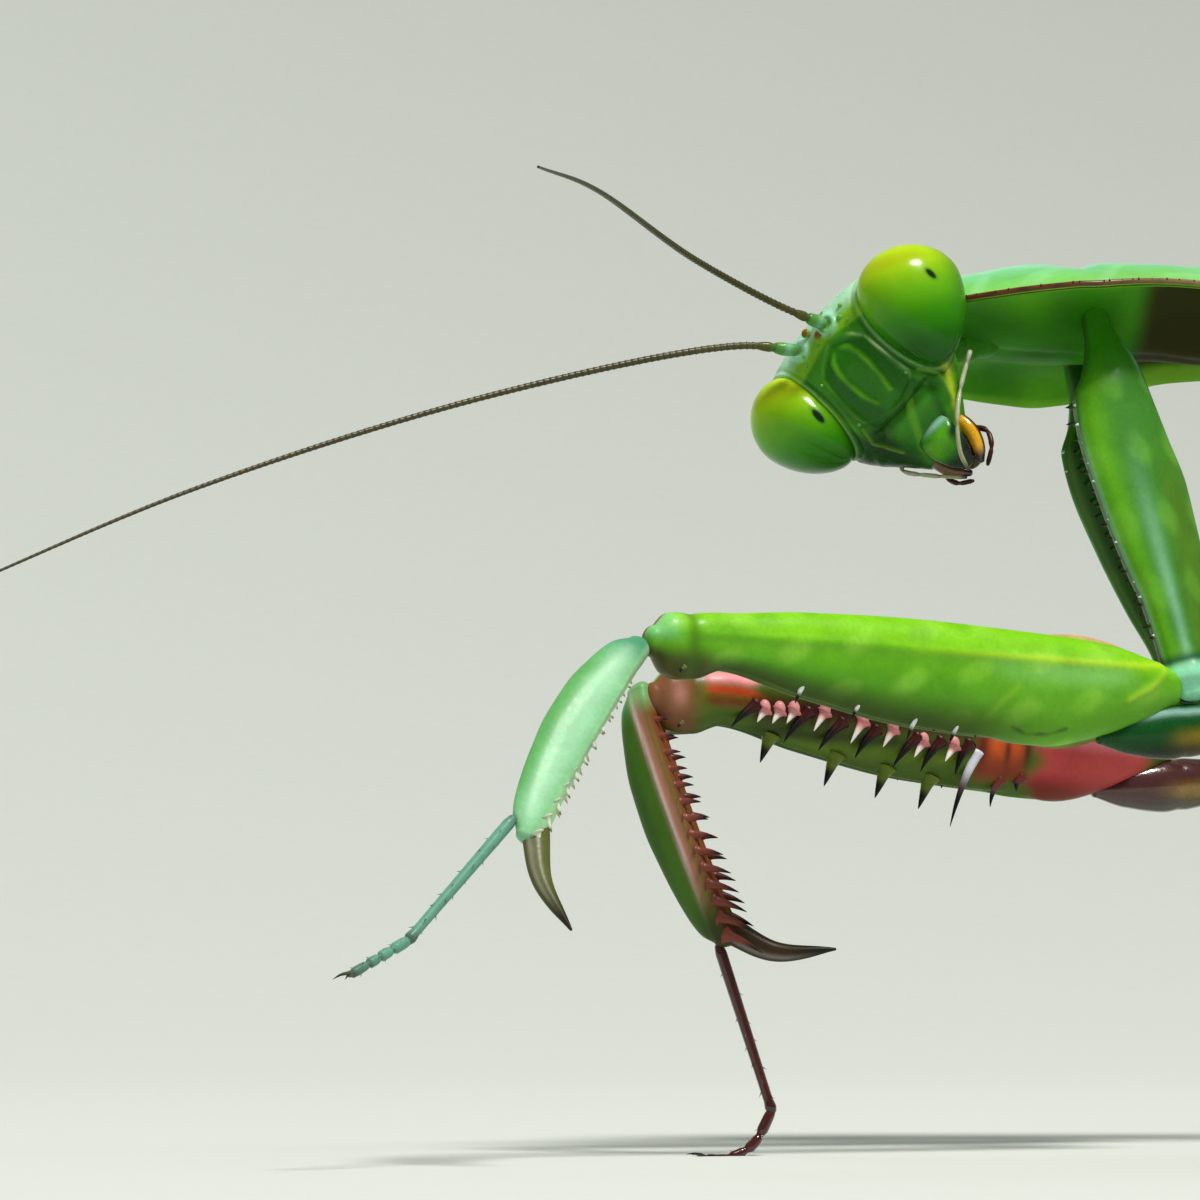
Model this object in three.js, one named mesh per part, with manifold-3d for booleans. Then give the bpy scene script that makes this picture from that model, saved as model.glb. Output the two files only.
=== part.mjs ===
// A shield mantis, an adult female at life size, standing and looking to its left.
// Millimetres. The animal faces -X, its left side is -Y and +Z is up. Its own datum is the
// middle of the pronotum, over the fore coxae, and the whole animal is moved from there so
// that the origin lies on the floor, under the middle of its box.
import * as THREE from "three";
import { mergeVertices } from "three/addons/utils/BufferGeometryUtils.js";
import Module from "manifold-3d";

const wasm = await Module();
wasm.setup();

// ---------------------------------------------------------------- driving dimensions
const HOME = { x: 14.27, y: 0.167, z: -29.5 }; // the origin, seen from the pronotum's datum
const FLOOR = HOME.z;
const GAP = 0.06; // clearance where two pieces meet
const WELD = 2e-3; // vertices nearer than this are one
const SKIN = 0.5; // least thickness of a wing or of the shield

const PROTHORAX_ROLL = -17; // degrees: the left margin is carried high
const SHIELD_LENGTH = 27.3;
const SHIELD_FRONT = -7.3;
const NECK_RADIUS = 0.85;

const HEAD = { at: [-9.41, -4.6, -1.07], roll: -45, pitch: -6, yaw: 62 };
// An eye is an egg: its blunt end up and outwards, its narrow end towards the mouth.
const EYE = { at: [-0.24, 3.28, 0.28], deep: 1.9, wide: 1.55, above: 1.55, below: 3.08, narrowing: 0.27 };
const EYE_TURN = { lean: 17, pitch: 19, turn: 41 };
const EYE_SIZE = { left: 1.035, right: 0.965 };
const MOUTH_TURN = -0.3; // the mouthparts are drawn to the left

const REAR = { at: [20.1, 0, -0.3], roll: -6, droop: 12 };
const METATHORAX_AT = 7.5; // distances along the rear body, from the pronotum's end
const ABDOMEN_AT = 13;
const ABDOMEN_END = 46.5;
const WING_END = 51;

const FEELER = 0.28; // radius of an antenna in these solids
const TOE_RADIUS = 0.27;
const FORE = { coxa: 14.6, femur: 20.8, tibia: 9.5, claw: 3.8, basitarsus: 6.1 };
const MID = { coxa: 5.5, femur: 19, tibia: 16 };
const HIND = { coxa: 5.5, femur: 23, tibia: 24 };

const SIDES = { left: -1, right: 1 };

const GREEN = 0x6f9a3c;
const PALE_GREEN = 0xa9cfa6;
const DARK_GREEN = 0x2f5a2c;
const LIME = 0x9cc92a;
const BROWN = 0x6b3f22;
const OLIVE = 0x6d6a35;

// ---------------------------------------------------------------- shape helpers
const vec = (x, y, z) => new THREE.Vector3(x, y, z);
const rad = THREE.MathUtils.degToRad;

// A unit vector: `turn` degrees from straight ahead towards the animal's left, then `rise`.
function heading(turn, rise) {
  const level = Math.cos(rad(rise));
  return vec(-Math.cos(rad(turn)) * level, -Math.sin(rad(turn)) * level, Math.sin(rad(rise)));
}

const reach = (from, length, turn, rise) => from.clone().addScaledVector(heading(turn, rise), length);

// A closed skin over rings of equally many points; a ring of one point is a tip.
function loft(rings) {
  const points = [];
  const faces = [];
  const starts = rings.map((ring) => {
    points.push(...ring);
    return points.length - ring.length;
  });
  for (let i = 0; i + 1 < rings.length; i++) {
    const [a, b] = [starts[i], starts[i + 1]];
    const [na, nb] = [rings[i].length, rings[i + 1].length];
    const n = Math.max(na, nb);
    for (let k = 0; k < n; k++) {
      const [a0, a1] = [a + (k % na), a + ((k + 1) % na)];
      const [b0, b1] = [b + (k % nb), b + ((k + 1) % nb)];
      if (na > 1) faces.push(a0, a1, b1);
      if (nb > 1) faces.push(a0, b1, b0);
    }
  }
  // A lid is a strip from one end of its ring to the other, so a crescent is closed as well.
  const lid = (start, n, turned) => {
    const face = (i, j, k) => faces.push(start + i, start + (turned ? j : k), start + (turned ? k : j));
    for (let k = 0; k + 2 < n - k; k++) {
      face(k, k + 1, n - 1 - k);
      if (k + 3 < n - k) face(k + 1, n - 2 - k, n - 1 - k);
    }
  };
  lid(starts[0], rings[0].length, false);
  lid(starts.at(-1), rings.at(-1).length, true);
  const geometry = new THREE.BufferGeometry().setFromPoints(points);
  geometry.setIndex(faces);
  return outward(geometry);
}

// The same faces, turned round if they enclose a negative volume.
function outward(geometry) {
  const at = geometry.getAttribute("position");
  const index = Array.from(geometry.index.array);
  const corner = (i) => new THREE.Vector3().fromBufferAttribute(at, index[i]);
  let volume = 0;
  for (let i = 0; i < index.length; i += 3) {
    volume += corner(i).dot(corner(i + 1).cross(corner(i + 2)));
  }
  if (volume < 0) {
    for (let i = 0; i < index.length; i += 3) {
      [index[i + 1], index[i + 2]] = [index[i + 2], index[i + 1]];
    }
    geometry.setIndex(index);
  }
  return geometry;
}

// A limb: oval sections [share of the way, rise, drop, half-width] set square to a path.
// `grow` swells it, for the room that a neighbour leaves round it.
function limb(path, sections, { up = vec(0, 0, 1), sides = 8, grow = 0 } = {}) {
  const curve = Array.isArray(path) ? new THREE.LineCurve3(...path) : path;
  const rings = sections.map(([share, rise, drop, half]) => {
    const along = curve.getTangentAt(share);
    const centre = curve.getPointAt(share);
    if (share === 0) centre.addScaledVector(along, -grow);
    if (share === 1) centre.addScaledVector(along, grow);
    if (rise === 0) return [centre];
    const side = new THREE.Vector3().crossVectors(along, up).normalize();
    const top = new THREE.Vector3().crossVectors(side, along);
    return Array.from({ length: sides }, (_, k) => {
      const angle = (2 * Math.PI * (k + 0.5)) / sides;
      const height = Math.sin(angle) > 0 ? rise + grow : drop + grow;
      return centre
        .clone()
        .addScaledVector(top, Math.sin(angle) * height)
        .addScaledVector(side, Math.cos(angle) * (half + grow));
    });
  });
  return loft(rings);
}

// A round limb of one radius, as so many sections.
const even = (count, radius) => {
  return Array.from({ length: count }, (_, k) => [k / (count - 1), radius, radius, radius]);
};

const bend = (...points) => new THREE.CatmullRomCurve3(points, false, "centripetal");

// A spine: a slim pyramid from its root to its tip.
function spine(root, tip, radius) {
  const span = tip.clone().sub(root);
  const cone = new THREE.ConeGeometry(radius, span.length(), 3);
  cone.translate(0, span.length() / 2, 0);
  cone.applyQuaternion(new THREE.Quaternion().setFromUnitVectors(vec(0, 1, 0), span.normalize()));
  return cone.translate(root.x, root.y, root.z);
}

function ball(centre, [rx, ry, rz], across = 12, grow = 0) {
  const sphere = new THREE.SphereGeometry(1, across, Math.round(across * 0.66));
  return sphere.scale(rx + grow, ry + grow, rz + grow).translate(centre.x, centre.y, centre.z);
}

// A geometry as a solid that can be joined and cut; one that already is stays as it is.
function solidOf(shape) {
  if (shape instanceof wasm.Manifold) return shape;
  const bare = shape.clone();
  bare.deleteAttribute("normal");
  bare.deleteAttribute("uv");
  const merged = mergeVertices(bare, WELD);
  const vertProperties = merged.getAttribute("position").array;
  const triVerts = new Uint32Array(merged.index.array);
  return new wasm.Manifold(new wasm.Mesh({ numProp: 3, vertProperties, triVerts }));
}

// The largest body of a solid as a geometry; a cut may leave crumbs, and they go.
function geometryOf(solid) {
  const bodies = solid.decompose().sort((a, b) => b.volume() - a.volume());
  const mesh = bodies[0].getMesh();
  const geometry = new THREE.BufferGeometry();
  geometry.setAttribute("position", new THREE.BufferAttribute(mesh.vertProperties, 3));
  geometry.setIndex(new THREE.BufferAttribute(mesh.triVerts, 1));
  return geometry;
}

const joined = (...shapes) => shapes.map(solidOf).reduce((all, next) => all.add(next));

// The shape with its neighbours' room cut away.
const meeting = (shape, ...rooms) => {
  return rooms.map(solidOf).reduce((all, room) => all.subtract(room), solidOf(shape));
};

const aboveFloor = (piece) => {
  const slab = new THREE.BoxGeometry(300, 300, 20).translate(0, 0, FLOOR - 10);
  return meeting(piece, slab);
};

function add(group, name, shape, color, roughness = 0.45) {
  const flat = geometryOf(solidOf(shape)).toNonIndexed();
  flat.computeVertexNormals();
  const mesh = new THREE.Mesh(flat, new THREE.MeshStandardMaterial({ color, roughness, metalness: 0 }));
  mesh.name = name;
  group.add(mesh);
}

function frameAt([x, y, z], roll, pitch, yaw) {
  const group = new THREE.Group();
  group.position.set(x, y, z);
  group.rotation.set(rad(roll), rad(pitch), rad(yaw), "ZYX");
  group.updateMatrix();
  return group;
}

const seenFrom = (group, geometry) => geometry.clone().applyMatrix4(group.matrix);
const pointIn = (group, x, y, z) => vec(x, y, z).applyMatrix4(group.matrix);

// ---------------------------------------------------------------- frames
const mantis = new THREE.Group();
const prothorax = frameAt([0, 0, 0], PROTHORAX_ROLL, 0, 0);
const head = frameAt(HEAD.at, HEAD.roll, HEAD.pitch, HEAD.yaw);
const rear = frameAt(REAR.at, REAR.roll, REAR.droop, 0);
mantis.add(prothorax, head, rear);

// ---------------------------------------------------------------- prothorax
// The shield: [station, half-width at the margin, height of the ridge, height of the margins].
const SHIELD = [
  [SHIELD_FRONT, 1.1, 0.9, 0],
  [-7.0, 2.5, 1.4, 0],
  [-6.2, 3.8, 1.9, 0],
  [-4.5, 4.8, 2.2, 0],
  [-2.4, 5.6, 2.5, 0],
  [-1.1, 5.9, 2.3, 0],
  [0, 5.85, 2.5, 0.1],
  [1.5, 5.5, 2.55, 0.3],
  [4, 4.6, 2.55, 0.55],
  [7, 4.2, 2.45, 0.6],
  [12, 3.5, 2.2, 0.5],
  [16, 2.9, 2.0, 0.4],
  [SHIELD_FRONT + SHIELD_LENGTH, 2.1, 1.8, 0.3],
];
const SHIELD_SPAN = 7; // points across the shield, margin to margin

function shield(grow) {
  const thick = SKIN / 2 + 2 * grow; // room above and below, twice over for the steep slopes
  const rings = SHIELD.map(([x, half, ridge, margin], station) => {
    const end = station === 0 ? -grow : station === SHIELD.length - 1 ? grow : 0;
    const across = (k) => (2 * k) / (SHIELD_SPAN - 1) - 1;
    const arch = (t) => margin + (ridge - margin) * (1 - t * t) ** 1.2;
    const upper = Array.from({ length: SHIELD_SPAN }, (_, k) => {
      return vec(x + end, across(k) * (half + grow), arch(across(k)) + thick);
    });
    const under = Array.from({ length: SHIELD_SPAN }, (_, k) => {
      return vec(x + end, across(k) * (half + grow), arch(across(k)) - thick);
    });
    return [...upper, ...under.reverse()];
  });
  return loft(rings);
}
add(prothorax, "pronotum", shield(0), PALE_GREEN);

// The sternum and pleura under the shield: [share, rise, drop, half-width].
const STERNUM = [
  [0, 1.0, 0.8, 2.0],
  [0.06, 1.2, 1.2, 2.6],
  [0.16, 1.3, 1.6, 3.0],
  [0.24, 1.4, 1.7, 2.8],
  [0.31, 1.4, 1.2, 2.2],
  [0.38, 1.3, 1.0, 1.8],
  [0.6, 1.1, 1.0, 1.6],
  [0.8, 1.0, 1.1, 1.4],
  [1, 0.9, 1.1, 1.2],
];
const sternum = (grow) => limb([vec(-5.6, 0, 0), vec(19.6, 0, 0)], STERNUM, { sides: 10, grow });
const prosternum = meeting(sternum(0), shield(GAP));
add(prothorax, "prosternum", prosternum, GREEN);
const prothoraxRoom = [shield(GAP), sternum(GAP)].map((room) => seenFrom(prothorax, room));

// ---------------------------------------------------------------- head
// Cross-sections of the capsule from mouth to vertex: [height, half-width, front, back].
const CAPSULE = [
  [-4.7, 0.95, 0.6, 0.5],
  [-3.9, 1.6, 1.0, 0.7],
  [-3.2, 2.2, 1.25, 0.85],
  [-2.5, 2.65, 1.4, 0.95],
  [-1.4, 2.95, 1.55, 1.15],
  [-0.3, 3.1, 1.6, 1.45],
  [0.7, 3.3, 1.45, 1.55],
  [1.5, 3.2, 1.15, 1.35],
  [2.1, 2.3, 0.6, 0.8],
];
const HEAD_SIDES = 14;

function capsuleShape(grow) {
  const rings = CAPSULE.map(([height, half, front, back], station) => {
    const end = station === 0 ? -grow : station === CAPSULE.length - 1 ? grow : 0;
    return Array.from({ length: HEAD_SIDES }, (_, k) => {
      const angle = (2 * Math.PI * k) / HEAD_SIDES;
      const depth = Math.cos(angle) > 0 ? back : front;
      return vec(Math.cos(angle) * (depth + grow), Math.sin(angle) * (half + grow), height + end);
    });
  });
  return loft(rings);
}

function eye(name, grow) {
  const side = SIDES[name];
  const egg = ball(vec(0, 0, 0), [1, 1, 1], 14);
  const at = egg.getAttribute("position");
  for (let i = 0; i < at.count; i++) {
    const z = at.getZ(i);
    const slim = 1 - EYE.narrowing * Math.max(-z, 0) ** 2;
    const tall = z > 0 ? EYE.above : EYE.below;
    const size = EYE_SIZE[name];
    at.setXYZ(
      i,
      at.getX(i) * slim * (EYE.deep * size + grow),
      at.getY(i) * slim * (EYE.wide * size + grow),
      z * (tall * size + grow),
    );
  }
  const [x, y, z] = EYE.at;
  egg.rotateZ(rad(side * EYE_TURN.turn));
  egg.rotateY(rad(EYE_TURN.pitch));
  egg.rotateX(rad(-side * EYE_TURN.lean));
  return egg.translate(x, side * y, z);
}

// Three ocelli stand in a triangle between the antennae.
const ocelli = [
  [-1.1, 0, 1.55],
  [-0.85, -0.42, 1.9],
  [-0.85, 0.42, 1.9],
].map(([x, y, z]) => ball(vec(x, y, z), [0.3, 0.3, 0.3], 6));

const capsule = meeting(
  joined(capsuleShape(0), ...ocelli),
  eye("left", GAP),
  eye("right", GAP),
);
add(head, "head_capsule", capsule, PALE_GREEN);
for (const name of Object.keys(SIDES)) {
  add(head, "eye_" + name, eye(name, 0), LIME, 0.15);
}

// The labrum and clypeus hang in front of the mouth, with the mandibles at each side,
// the labium behind and a palp beyond each mandible.
const labrum = (grow) =>
  limb(
    [vec(-0.9, MOUTH_TURN, -3.5), vec(-0.6, MOUTH_TURN, -5.6)],
    [
      [0, 0.35, 0.3, 0.6],
      [0.35, 0.45, 0.35, 0.75],
      [0.75, 0.4, 0.3, 0.6],
      [1, 0.25, 0.25, 0.35],
    ],
    { up: vec(-1, 0, 0), grow },
  );
add(head, "labrum", meeting(labrum(0), capsuleShape(GAP)), GREEN);

const MOUTH = vec(-0.05, MOUTH_TURN, -5.1);
const MOUTH_SIZE = [0.4, 0.65, 0.45];
const mandible = (side, grow) =>
  limb(
    bend(
      vec(-0.1, MOUTH_TURN + side * 0.85, -4.2),
      vec(-0.15, MOUTH_TURN + side * 0.85, -5.1),
      vec(-0.15, MOUTH_TURN + side * 0.35, -5.8),
    ),
    [
      [0, 0.4, 0.4, 0.45],
      [0.5, 0.45, 0.4, 0.45],
      [1, 0.25, 0.25, 0.28],
    ],
    { up: vec(-1, 0, 0), grow },
  );
const mandibles = joined(
  mandible(SIDES.left, 0),
  mandible(SIDES.right, 0),
  ball(MOUTH, MOUTH_SIZE, 8),
);
add(head, "mandibles", meeting(mandibles, capsuleShape(GAP), labrum(GAP)), BROWN);

const labium = limb(
  [vec(0.55, MOUTH_TURN, -4.0), vec(0.4, MOUTH_TURN, -5.6)],
  [
    [0, 0.35, 0.3, 0.8],
    [0.6, 0.35, 0.3, 0.75],
    [1, 0.25, 0.25, 0.45],
  ],
  { up: vec(1, 0, 0) },
);
const mandibleRoom = [mandible(SIDES.left, GAP), mandible(SIDES.right, GAP)];
const mouthRoom = [capsuleShape(GAP), labrum(GAP), ...mandibleRoom];
add(head, "labium", meeting(labium, ...mouthRoom, ball(MOUTH, MOUTH_SIZE, 8, GAP)), GREEN);

for (const [name, side] of Object.entries(SIDES)) {
  const route = bend(
    vec(0.1, MOUTH_TURN / 2 + side * 1.65, -3.7),
    vec(0, MOUTH_TURN / 2 + side * 1.45, -4.3),
    vec(-0.15, MOUTH_TURN + side * 1.2, -5.0),
    vec(-0.25, MOUTH_TURN + side * 0.7, -5.7),
  );
  const palp = limb(route, even(5, 0.27), { sides: 6 });
  add(head, "palp_" + name, meeting(palp, ...mouthRoom), PALE_GREEN);
}

// ---------------------------------------------------------------- antennae
// Each is a stout scape and a flagellum in two lengths, along one smooth sweep.
const ANTENNA_SWEEP = {
  left: [
    [-10.9, -5.75, 0.15],
    [-12.6, -6.8, 0.67],
    [-16, -10.5, 1.8],
    [-20.8, -21, 3.0],
    [-24, -31, 2.6],
  ],
  right: [
    [-11.8, -5.1, -0.75],
    [-13.9, -5.4, -0.65],
    [-22.6, -6.9, -2.55],
    [-33.4, -9.2, -6.15],
    [-42.1, -11.5, -10],
  ],
};
const SCAPE_SHARE = 0.04; // of the antenna's length
const capsuleRoom = seenFrom(head, capsuleShape(GAP));

for (const [name, points] of Object.entries(ANTENNA_SWEEP)) {
  const sweep = bend(...points.map((point) => vec(...point)));
  const length = (from, to, first, last, rings, grow = 0) => {
    const stretch = Array.from({ length: 9 }, (_, k) => sweep.getPointAt(from + ((to - from) * k) / 8));
    const sections = Array.from({ length: rings }, (_, k) => {
      const share = k / (rings - 1);
      const radius = first + (last - first) * share;
      return [share, radius, radius, radius];
    });
    return limb(bend(...stretch), sections, { sides: 6, grow });
  };
  const scape = (grow) => length(0, SCAPE_SHARE, 0.42, 0.36, 3, grow);
  const base = length(SCAPE_SHARE + 0.002, 0.5, 0.3, FEELER, 9);
  add(mantis, `antenna_${name}_scape`, meeting(scape(0), capsuleRoom), PALE_GREEN);
  add(mantis, `antenna_${name}_base`, meeting(base, scape(GAP), capsuleRoom), OLIVE);
  add(mantis, `antenna_${name}_tip`, length(0.502, 1, FEELER, 0.25, 9), OLIVE);
}

// ---------------------------------------------------------------- neck
const neckPath = bend(vec(-4.6, 0, -0.4), vec(-7.0, -0.7, -0.65), vec(-8.9, -3.6, -0.85));
const neckTube = limb(neckPath, even(4, NECK_RADIUS));
add(mantis, "neck", meeting(neckTube, ...prothoraxRoom, capsuleRoom), DARK_GREEN);

// ---------------------------------------------------------------- fore legs
// Sections are [share, rise, drop, half-width], from the body outwards.
const FORE_COXA = [
  [0, 0.9, 0.9, 1.0],
  [0.11, 0.75, 1.2, 1.2],
  [0.22, 1.75, 1.3, 1.2],
  [0.34, 1.9, 1.65, 1.15],
  [0.48, 1.75, 2.0, 1.05],
  [0.65, 1.4, 1.95, 0.95],
  [0.78, 1.0, 1.6, 0.85],
  [0.92, 0.85, 1.1, 0.8],
  [1, 0.6, 0.6, 0.5],
];
const FORE_TROCHANTER = [
  [0, 0.9, 0.9, 0.7],
  [0.35, 1.0, 1.0, 0.85],
  [0.75, 0.8, 0.7, 0.65],
  [1, 0.3, 0.3, 0.35],
];
const FORE_FEMUR = [
  [0, 0.7, 0.8, 0.6],
  [0.05, 1.0, 1.4, 0.9],
  [0.13, 1.35, 1.95, 1.1],
  [0.25, 1.5, 2.5, 1.15],
  [0.5, 1.6, 2.3, 1.05],
  [0.72, 1.45, 1.55, 0.9],
  [0.87, 1.15, 0.9, 0.8],
  [0.94, 1.05, 1.35, 0.8],
  [0.98, 0.9, 1.1, 0.7],
  [1, 0.5, 0.6, 0.5],
];
const FORE_TIBIA = [
  [0, 0.3, 0.6, 0.4],
  [0.06, 0.25, 1.05, 0.55],
  [0.18, 0.15, 1.4, 0.6],
  [0.34, 0.15, 1.66, 0.62],
  [0.5, 0.15, 1.7, 0.58],
  [0.66, 0.2, 1.56, 0.55],
  [0.83, 0.3, 1.3, 0.5],
  [0.95, 0.38, 0.95, 0.42],
  [1, 0.35, 0.55, 0.35],
];
const TIBIAL_CLAW = [
  [0, 0.5, 0.5, 0.35],
  [0.35, 0.45, 0.42, 0.32],
  [0.75, 0.28, 0.26, 0.25],
  [1, 0.08, 0.08, 0.08],
];
const TARSUS = [
  [0, 0.25, 0.25, 0.25],
  [0.1, 0.28, 0.28, 0.28],
  [0.9, 0.26, 0.26, 0.26],
  [1, 0.25, 0.25, 0.25],
];

// Where each fore leg bends, and which way each length of it points [turn, rise]. `joint` is
// the tibia's root seen from the femur's end, `twist` turns the tibia about its own length,
// `comb` scales its spines, and `ankle` sets the tarsus on it: [how far past its end, how far
// out from its middle line].
const FORE_LEG = {
  left: {
    hip: [-0.3, -2.16, 0.97],
    femurFrom: [1.66, -5.7, -12.85],
    coxa: [130.7, -72.5],
    femur: [19.5, 3.6],
    joint: [-0.38, 0.03, -0.3],
    tibia: [49, -44.3],
    twist: 0,
    claw: [121, -54],
    comb: 0.5,
    ankle: [-0.24, 0.85],
    basitarsus: [34, -42],
    tarsus: [[36, -24, 2.7]],
    inside: 1,
  },
  right: {
    hip: [-0.15, 2.33, -0.4],
    femurFrom: [2.93, 1.2, -14.61],
    coxa: [169, -70.6],
    femur: [17, 3.9],
    joint: [-0.36, 0.03, 0.23],
    tibia: [145, -68.8],
    twist: 50,
    claw: [170, -6],
    comb: 1,
    ankle: [0.15, 0.45],
    basitarsus: [163, -72],
    tarsus: [
      [15, -58, 1.4],
      [11, -25, 1.1],
      [11, 0, 0.8],
    ],
    inside: -1,
  },
};
const SPINE_ROWS = { inner: 11, tibialInner: 12, tibialOuter: 8 };
const OUTER_SPINES = [0.43, 0.515, 0.62, 0.735]; // shares of the femur's length
const DISCOIDAL_SPINES = [
  [0.375, 0.5, 2.75],
  [0.32, 1.2, 1.3],
  [0.285, 1.0, 1.0],
]; // [share, drop, length]

for (const [name, leg] of Object.entries(FORE_LEG)) {
  const hip = vec(...leg.hip);
  const coxaEnd = reach(hip, FORE.coxa, ...leg.coxa);
  const femurFrom = vec(...leg.femurFrom);
  const femurEnd = reach(femurFrom, FORE.femur, ...leg.femur);
  const knee = femurEnd.clone().add(vec(...leg.joint));
  const tibiaEnd = reach(knee, FORE.tibia, ...leg.tibia);
  const forward = heading(...leg.femur);
  const across = new THREE.Vector3().crossVectors(forward, vec(0, 0, 1)).normalize();
  const sideways = across.clone().multiplyScalar(leg.inside);
  const dorsal = new THREE.Vector3().crossVectors(across, forward);
  const down = dorsal.clone().negate();

  const coxaShape = (grow) => limb([hip, coxaEnd], FORE_COXA, { up: forward, sides: 9, grow });
  add(mantis, `fore_${name}_coxa`, meeting(coxaShape(0), ...prothoraxRoom), PALE_GREEN);

  const femurShape = (grow) => limb([femurFrom, femurEnd], FORE_FEMUR, { up: dorsal, sides: 10, grow });
  const trochanterTo = femurFrom.clone().addScaledVector(forward, 2.7).addScaledVector(down, 2.0);
  const trochanterFrom = femurFrom.clone().addScaledVector(forward, -2.0).addScaledVector(down, 1.3);
  const trochanterLine = [trochanterFrom, trochanterTo];
  const trochanterShape = (grow) => limb(trochanterLine, FORE_TROCHANTER, { up: dorsal, grow });
  const trochanter = meeting(trochanterShape(0), coxaShape(GAP), femurShape(GAP));
  add(mantis, `fore_${name}_trochanter`, trochanter, DARK_GREEN);

  // Three discoidal spines in the middle, four outer ones, and a long comb on the inner face.
  const femoral = (share, inwards, drop, length, lean, splay) => {
    const root = femurFrom
      .clone()
      .addScaledVector(forward, share * FORE.femur)
      .addScaledVector(sideways, inwards)
      .addScaledVector(down, drop);
    const tip = root
      .clone()
      .addScaledVector(down, length)
      .addScaledVector(forward, length * lean)
      .addScaledVector(sideways, length * splay);
    return spine(root, tip, 0.26);
  };
  const combs = [];
  for (let i = 0; i < SPINE_ROWS.inner; i++) {
    const share = THREE.MathUtils.lerp(0.39, 0.81, i / (SPINE_ROWS.inner - 1));
    const drop = THREE.MathUtils.lerp(0.35, -0.25, i / (SPINE_ROWS.inner - 1));
    combs.push(femoral(share, 0.55, drop, i % 2 ? 0.8 : 1.1, 0.8, 0.7));
  }
  for (const share of OUTER_SPINES) {
    const drop = THREE.MathUtils.lerp(1.9, 0.9, THREE.MathUtils.smoothstep(share, 0.35, 0.8));
    combs.push(femoral(share, -0.5, drop, 1.1, 0.35, -0.2));
  }
  for (const [share, drop, length] of DISCOIDAL_SPINES) {
    combs.push(femoral(share, 0.3, drop, length, 0.48, 0.25));
  }
  const femur = joined(femurShape(0), ...combs);
  add(mantis, `fore_${name}_femur`, meeting(femur, coxaShape(GAP)), GREEN);

  // The tibia carries two combs along its inner face and ends in a long curved claw.
  const shin = heading(...leg.tibia);
  const clawTip = reach(tibiaEnd, FORE.claw, ...leg.claw);
  const grip = forward.clone().negate().projectOnPlane(shin).normalize();
  grip.applyAxisAngle(shin, rad(leg.twist));
  const tibiaShape = (grow) => limb([knee, tibiaEnd], FORE_TIBIA, { up: grip, sides: 8, grow });
  const clawElbow = tibiaEnd.clone().addScaledVector(shin, 0.55).lerp(clawTip, 0.4);
  const clawRoot = tibiaEnd.clone().addScaledVector(shin, -0.4);
  const clawPath = bend(clawRoot, clawElbow, clawTip);
  const clawShape = (grow) => limb(clawPath, TIBIAL_CLAW, { up: shin, sides: 6, grow });
  const beside = new THREE.Vector3().crossVectors(shin, grip);
  const shinCombs = [
    [SPINE_ROWS.tibialInner, 0.3],
    [SPINE_ROWS.tibialOuter, -0.3],
  ].flatMap(([count, offset]) =>
    Array.from({ length: count }, (_, i) => {
      const share = THREE.MathUtils.lerp(0.2, 0.96, i / (count - 1));
      const root = knee
        .clone()
        .addScaledVector(shin, share * FORE.tibia)
        .addScaledVector(grip, -0.1)
        .addScaledVector(beside, offset);
      const length = leg.comb * THREE.MathUtils.lerp(0.9, 1.6, share ** 2);
      const tip = root.clone().addScaledVector(grip, length).addScaledVector(shin, length * 0.5);
      return spine(root, tip, 0.2);
    }),
  );
  const tibia = joined(tibiaShape(0), clawShape(0), ...shinCombs);
  add(mantis, `fore_${name}_tibia`, meeting(tibia, femurShape(GAP)), GREEN);

  // The tarsus starts on the outer side, just above the claw.
  const [past, outFrom] = leg.ankle;
  const ankle = tibiaEnd.clone().addScaledVector(shin, past).addScaledVector(grip, -outFrom);
  const heel = reach(ankle, FORE.basitarsus, ...leg.basitarsus);
  const tibiaRoom = tibiaShape(GAP);
  const basitarsusShape = (grow) => limb([ankle, heel], TARSUS, { up: grip, sides: 6, grow });
  add(mantis, `fore_${name}_basitarsus`, meeting(basitarsusShape(0), tibiaRoom, clawShape(GAP)), BROWN);

  const toes = [heel];
  for (const [turn, rise, length] of leg.tarsus) toes.push(reach(toes.at(-1), length, turn, rise));
  const toe = limb(toes.length > 2 ? bend(...toes) : toes, even(6, TOE_RADIUS), { up: grip, sides: 6 });
  add(mantis, `fore_${name}_tarsus`, aboveFloor(meeting(toe, basitarsusShape(GAP))), BROWN);
}

// ---------------------------------------------------------------- meso- and metathorax
const MESOTHORAX = [
  [0, 1.2, 1.3, 1.9],
  [0.2, 1.5, 2.6, 2.9],
  [0.6, 1.6, 3.3, 3.5],
  [1, 1.6, 3.4, 3.7],
];
const METATHORAX = [
  [0, 1.6, 3.4, 3.7],
  [0.5, 1.6, 3.5, 3.9],
  [1, 1.5, 3.1, 3.8],
];
const stretchOf = (from, to) => [vec(from, 0, 0), vec(to - GAP, 0, 0)];
const mesothorax = (grow) => limb(stretchOf(0, METATHORAX_AT), MESOTHORAX, { sides: 12, grow });
const metathorax = (grow) => limb(stretchOf(METATHORAX_AT, ABDOMEN_AT), METATHORAX, { sides: 12, grow });
add(rear, "mesothorax", mesothorax(0), GREEN);
add(rear, "metathorax", metathorax(0), GREEN);

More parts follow.
